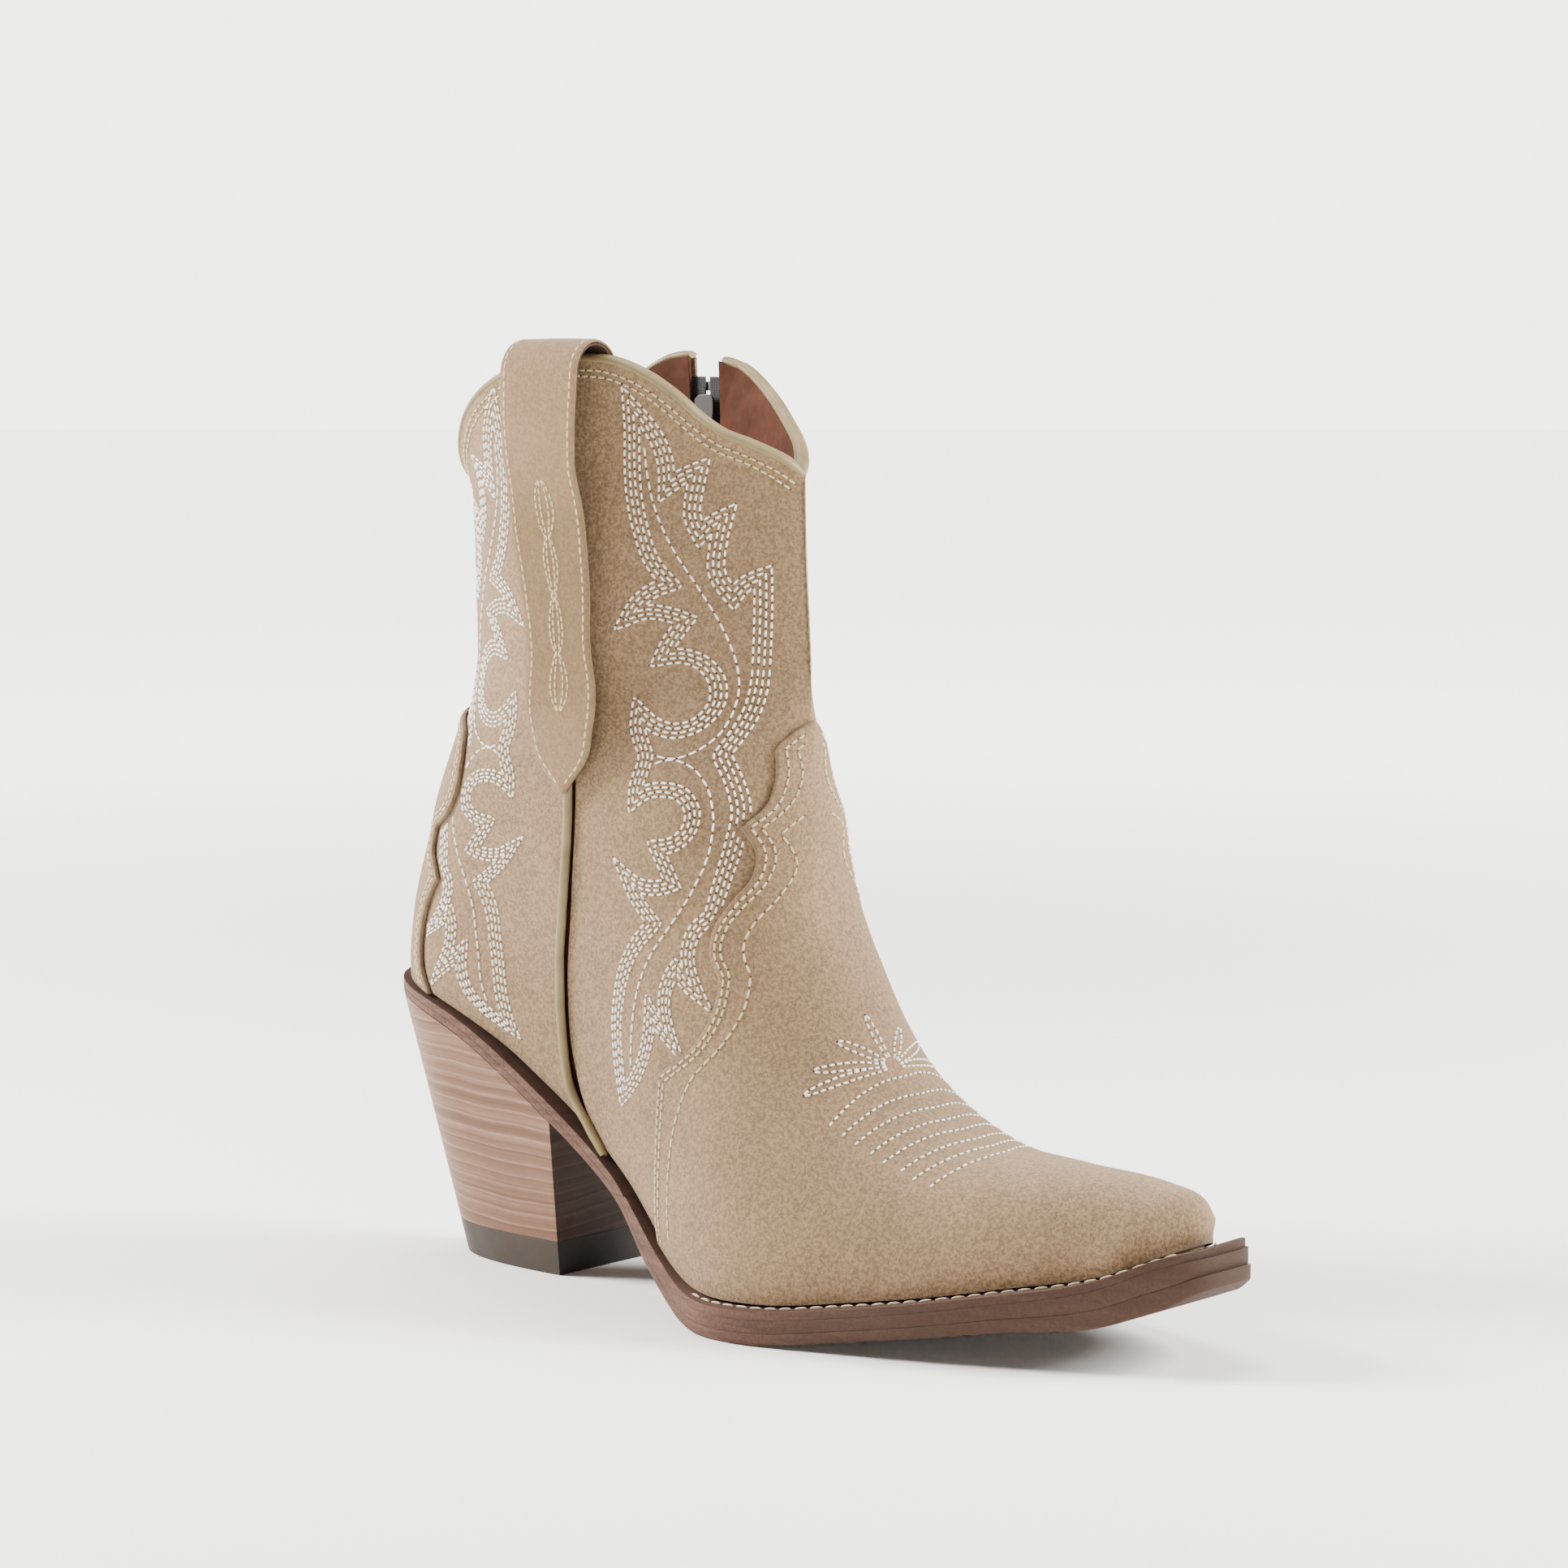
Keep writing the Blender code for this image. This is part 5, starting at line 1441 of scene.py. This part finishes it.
def lamp(name, azimuth, elevation, distance, size, power):
    """A soft rectangular light aimed at the boot; azimuth is counted from the camera's, to the right."""
    a, e = math.radians(AZIMUTH + azimuth), math.radians(elevation)
    away = Vector((math.sin(a) * math.cos(e), -math.cos(a) * math.cos(e), math.sin(e)))
    data = bpy.data.lights.new(name, "AREA")
    data.shape = "RECTANGLE"
    data.size, data.size_y = size
    data.energy = power
    made = bpy.data.objects.new(name, data)
    made.location = Vector(LAMP_TARGET) + away * distance
    made.rotation_euler = away.to_track_quat("Z", "Y").to_euler()
    bpy.context.scene.collection.objects.link(made)


def studio():
    g = Graph("floor")
    # Far off the floor is evenly lit, like the wall behind it
    away = g.node("ShaderNodeVectorMath", operation="LENGTH")
    g.put(away.inputs[0], g.place)
    glow = g.range(away.outputs["Value"], 0.4, 1.8, 0.0, 3.7)
    g.set(Base_Color=(0.92, 0.912, 0.885, 1.0), Roughness=0.95, Specular_IOR_Level=0.1)
    g.set(Emission_Color=(1.0, 0.995, 0.97, 1.0), Emission_Strength=glow)
    size = 60.0
    mesh = bpy.data.meshes.new("floor")
    mesh.from_pydata([(-size, -size, 0), (size, -size, 0), (size, size, 0), (-size, size, 0)], [],
                     [(0, 1, 2, 3)])
    mesh.materials.append(g.mat)
    floor = bpy.data.objects.new("floor", mesh)
    bpy.context.scene.collection.objects.link(floor)

    # A bright wall round the set, and a dimmer ceiling
    world = bpy.data.worlds.new("studio")
    bpy.context.scene.world = world
    world.use_nodes = True
    tree = world.node_tree
    place = tree.nodes.new("ShaderNodeTexCoord").outputs["Generated"]
    split = tree.nodes.new("ShaderNodeSeparateXYZ")
    tree.links.new(place, split.inputs[0])
    ramp = tree.nodes.new("ShaderNodeValToRGB")
    tree.links.new(split.outputs["Z"], ramp.inputs[0])
    ramp.color_ramp.elements[0].position = 0.1
    ramp.color_ramp.elements[0].color = (WALL_LIGHT, WALL_LIGHT, WALL_LIGHT * 0.96, 1)
    ramp.color_ramp.elements[1].position = 0.17
    ramp.color_ramp.elements[1].color = (CEILING_LIGHT, CEILING_LIGHT, CEILING_LIGHT, 1)
    tree.links.new(ramp.outputs[0], tree.nodes["Background"].inputs["Color"])
    tree.nodes["Background"].inputs["Strength"].default_value = WORLD_STRENGTH
    for values in LAMPS:
        lamp(*values)


SUEDE = (rgb(103, 84, 61), rgb(121, 98, 72), rgb(139, 112, 83))
STRAP_SUEDE = (rgb(124, 99, 70), rgb(140, 111, 80), rgb(153, 124, 91))


def stacked(name):
    """The heel's leather edge: thin wavy light and dark lines, one over the other."""
    g = Graph(name)
    wobble = g.noise(16.0, 2.0, 0.5, stretch=(1, 1, 0.6))
    shifted = g.math("ADD", g.parts(g.place)["Z"], g.math("MULTIPLY", wobble, 0.008))
    lines = g.node("ShaderNodeTexNoise", noise_dimensions="1D", W=shifted, Scale=330.0, Detail=3.0,
                   Roughness=0.7).outputs["Fac"]
    joints = g.math("FRACT", g.math("MULTIPLY", shifted, 290.0))
    joint = g.math("MULTIPLY", g.range(joints, 0.0, 0.12), g.range(joints, 0.3, 0.12))
    grain = g.noise(900.0, 3.0, 0.6, stretch=(0.35, 0.35, 1.6))
    cloud = g.noise(45.0, 3.0, 0.6)
    colour = g.ramp(lines, (0.3, rgb(92, 66, 49)), (0.5, rgb(115, 85, 66)), (0.7, rgb(134, 102, 82)))
    colour = g.mix(g.range(cloud, 0.3, 0.7, 0.0, 0.35), colour, rgb(98, 70, 52))
    colour = g.mix(g.math("MULTIPLY", joint, 0.5), colour, rgb(156, 126, 104))
    colour = g.mix(g.range(grain, 0.35, 0.65, 0.0, 0.25), colour, rgb(92, 70, 57))
    # Painted shade: the breast, which faces forward under the arch, is darkened
    breast = g.range(g.facing()["X"], 0.55, 0.8, 0.0, 0.84)
    colour = g.mix(breast, colour, rgb(20, 11, 7))
    g.set(Base_Color=colour, Roughness=0.5, Normal=g.bump(grain, 0.00008, 0.6))
    g.set(Specular_IOR_Level=0.15)
    return g.mat


def sole_edge(name):
    """Stained sole leather; painted shade makes the faces that look up darker than its cut edges."""
    g = Graph(name)
    grain = g.noise(1300.0, 3.0, 0.7)
    streak = g.noise(260.0, 3.0, 0.6, stretch=(0.15, 0.15, 2.2))
    colour = g.ramp(streak, (0.3, rgb(78, 56, 45)), (0.7, rgb(108, 80, 66)))
    colour = g.mix(g.range(grain, 0.35, 0.65, 0.0, 0.5), colour, rgb(58, 41, 33))
    # Painted shade on the faces that look up, where the upper overhangs them, darkest under the waist of the
    # upper
    facing = g.facing()
    top = g.range(facing["Z"], 0.6, 0.85)
    where = g.parts(g.place)["X"]
    # Painted shade: the sole darkens toward the toe
    colour = g.mix(g.range(where, 0.09, 0.14, 0.0, 0.75), colour, rgb(56, 39, 30))
    # Painted shade darkens the toe's end, and painted highlights lighten its corners
    colour = g.mix(g.range(facing["X"], 0.6, 0.95, 0.0, 0.4), colour, rgb(46, 32, 25))
    for corner_y in TOE_CORNER_HIGHLIGHTS:
        away = g.node("ShaderNodeVectorMath", operation="DISTANCE")
        g.put(away.inputs[0], g.place)
        g.put(away.inputs[1], (SOLE_TIP * MM - 0.002, corner_y * MM, 0.009))
        colour = g.mix(g.range(away.outputs["Value"], 0.009, 0.001, 0.0, 0.5), colour, rgb(142, 110, 92))
    # Colour of that painted shade: darkest toward the heel, under the waist
    up_shade_colour = g.mix(g.range(where, 0.05, 0.1), rgb(44, 28, 22), rgb(78, 57, 48))
    colour = g.mix(g.math("MULTIPLY", top, 0.85), colour, up_shade_colour)
    g.set(Base_Color=colour, Roughness=0.68, Normal=g.bump(grain, 0.00018, 0.8))
    g.set(Specular_IOR_Level=0.15)
    return g.mat


def simple(name, colour, roughness, metallic=0.0, grain=700.0, depth=0.00005, contrast=0.2,
           front=None):
    """One colour with specks; front is the colour of painted shade on the faces that look forward."""
    g = Graph(name)
    speck = g.noise(grain, 3.0, 0.6)
    cloud = g.noise(60.0, 3.0)
    made = g.mix(g.math("MULTIPLY", speck, contrast * 2), colour, tuple(c * 0.55 for c in colour))
    made = g.mix(g.math("MULTIPLY", cloud, contrast), made, tuple(min(c * 1.4, 1) for c in colour))
    rough = g.range(cloud, 0.3, 0.7, roughness - 0.06, roughness + 0.08)
    # Painted shade on the faces that look forward
    if front:
        made = g.mix(g.range(g.facing()["X"], 0.55, 0.8, 0.0, 0.8), made, front)
    g.set(Base_Color=made, Roughness=rough, Metallic=metallic, Normal=g.bump(speck, depth, 0.7))
    if not metallic:
        g.set(Specular_IOR_Level=0.2)
    return g.mat


def woven(name, colour):
    """Zip tape: a fine woven rib."""
    g = Graph(name)
    ribs = [g.node("ShaderNodeTexWave", Vector=g.place, Scale=scale, bands_direction=way).outputs["Fac"]
            for scale, way in ((450.0, "Z"), (600.0, "X"))]
    weave = g.math("MULTIPLY", *ribs)
    colour = g.mix(weave, tuple(c * 0.5 for c in colour), tuple(c * 1.5 for c in colour))
    g.set(Base_Color=colour, Roughness=0.9, Normal=g.bump(weave, 0.00012, 0.8))
    g.set(Sheen_Weight=0.3)
    return g.mat


def materials():
    return {
        "suede": suede("suede", SUEDE),
        "strap": suede("strap_suede", STRAP_SUEDE, seed=9.0),
        # Backing of the pull strap: dark in its own colour, and darkened further as painted shade for the
        # shadow under the strap
        "strap_back": leather("strap_backing_and_shade", (rgb(58, 43, 33), rgb(74, 56, 44)), 0.8, gloss=0.1),
        "piping": leather("piping_leather", (rgb(112, 97, 66), rgb(132, 115, 80)), 0.45, 1100.0, gloss=0.25),
        "lining": leather("lining_leather", (rgb(60, 35, 25), rgb(82, 49, 36)), 0.75, 800.0, gloss=0.05),
        "white": thread("white_thread", rgb(250, 246, 236), rgb(226, 216, 196)),
        "beige": thread("beige_thread", rgb(204, 186, 146), rgb(160, 138, 100)),
        # Needle holes: their dark colour is painted shade inside the holes
        "hole": simple("needle_hole_shade", rgb(70, 52, 38), 0.95),
        "sole": sole_edge("sole_leather"),
        "stack": stacked("stacked_leather"),
        # The top lift's forward face is darkened with painted shade
        "rubber": simple("top_lift_rubber", rgb(58, 49, 42), 0.55, grain=900.0, depth=0.00008,
                         front=rgb(22, 19, 17)),
        "board": simple("fibre_board", rgb(165, 146, 118), 0.9),
        "cork": simple("cork", rgb(160, 120, 84), 0.95, grain=500.0, contrast=0.4),
        "steel": simple("steel", (0.55, 0.55, 0.56), 0.35, 1.0, contrast=0.1),
        "gunmetal": simple("gunmetal", (0.06, 0.055, 0.052), 0.4, 1.0, contrast=0.2),
        "tape": woven("zip_tape", rgb(24, 22, 21)),
    }


def build():
    mats = materials()
    holes = Stitches("needle_hole_shades", mats["hole"], "suede")
    white = Stitches("embroidery_thread", mats["white"], "suede", holes)
    beige = Stitches("seam_thread", mats["beige"], "suede", holes)
    vamp_line, counter_line = upper(mats)
    embroidery(white, beige, vamp_line, counter_line)
    toe_bug(white)
    pipings(mats)
    strap(mats, beige)
    sole(mats, beige)
    lifts = sorted(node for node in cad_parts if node.startswith("heel_lift"))
    heel(mats, lifts)
    zips(mats)
    slider_and_pull(mats)
    rest_of_cad(mats)
    white.finish()
    beige.finish()
    holes.finish()


camera()
studio()
build()
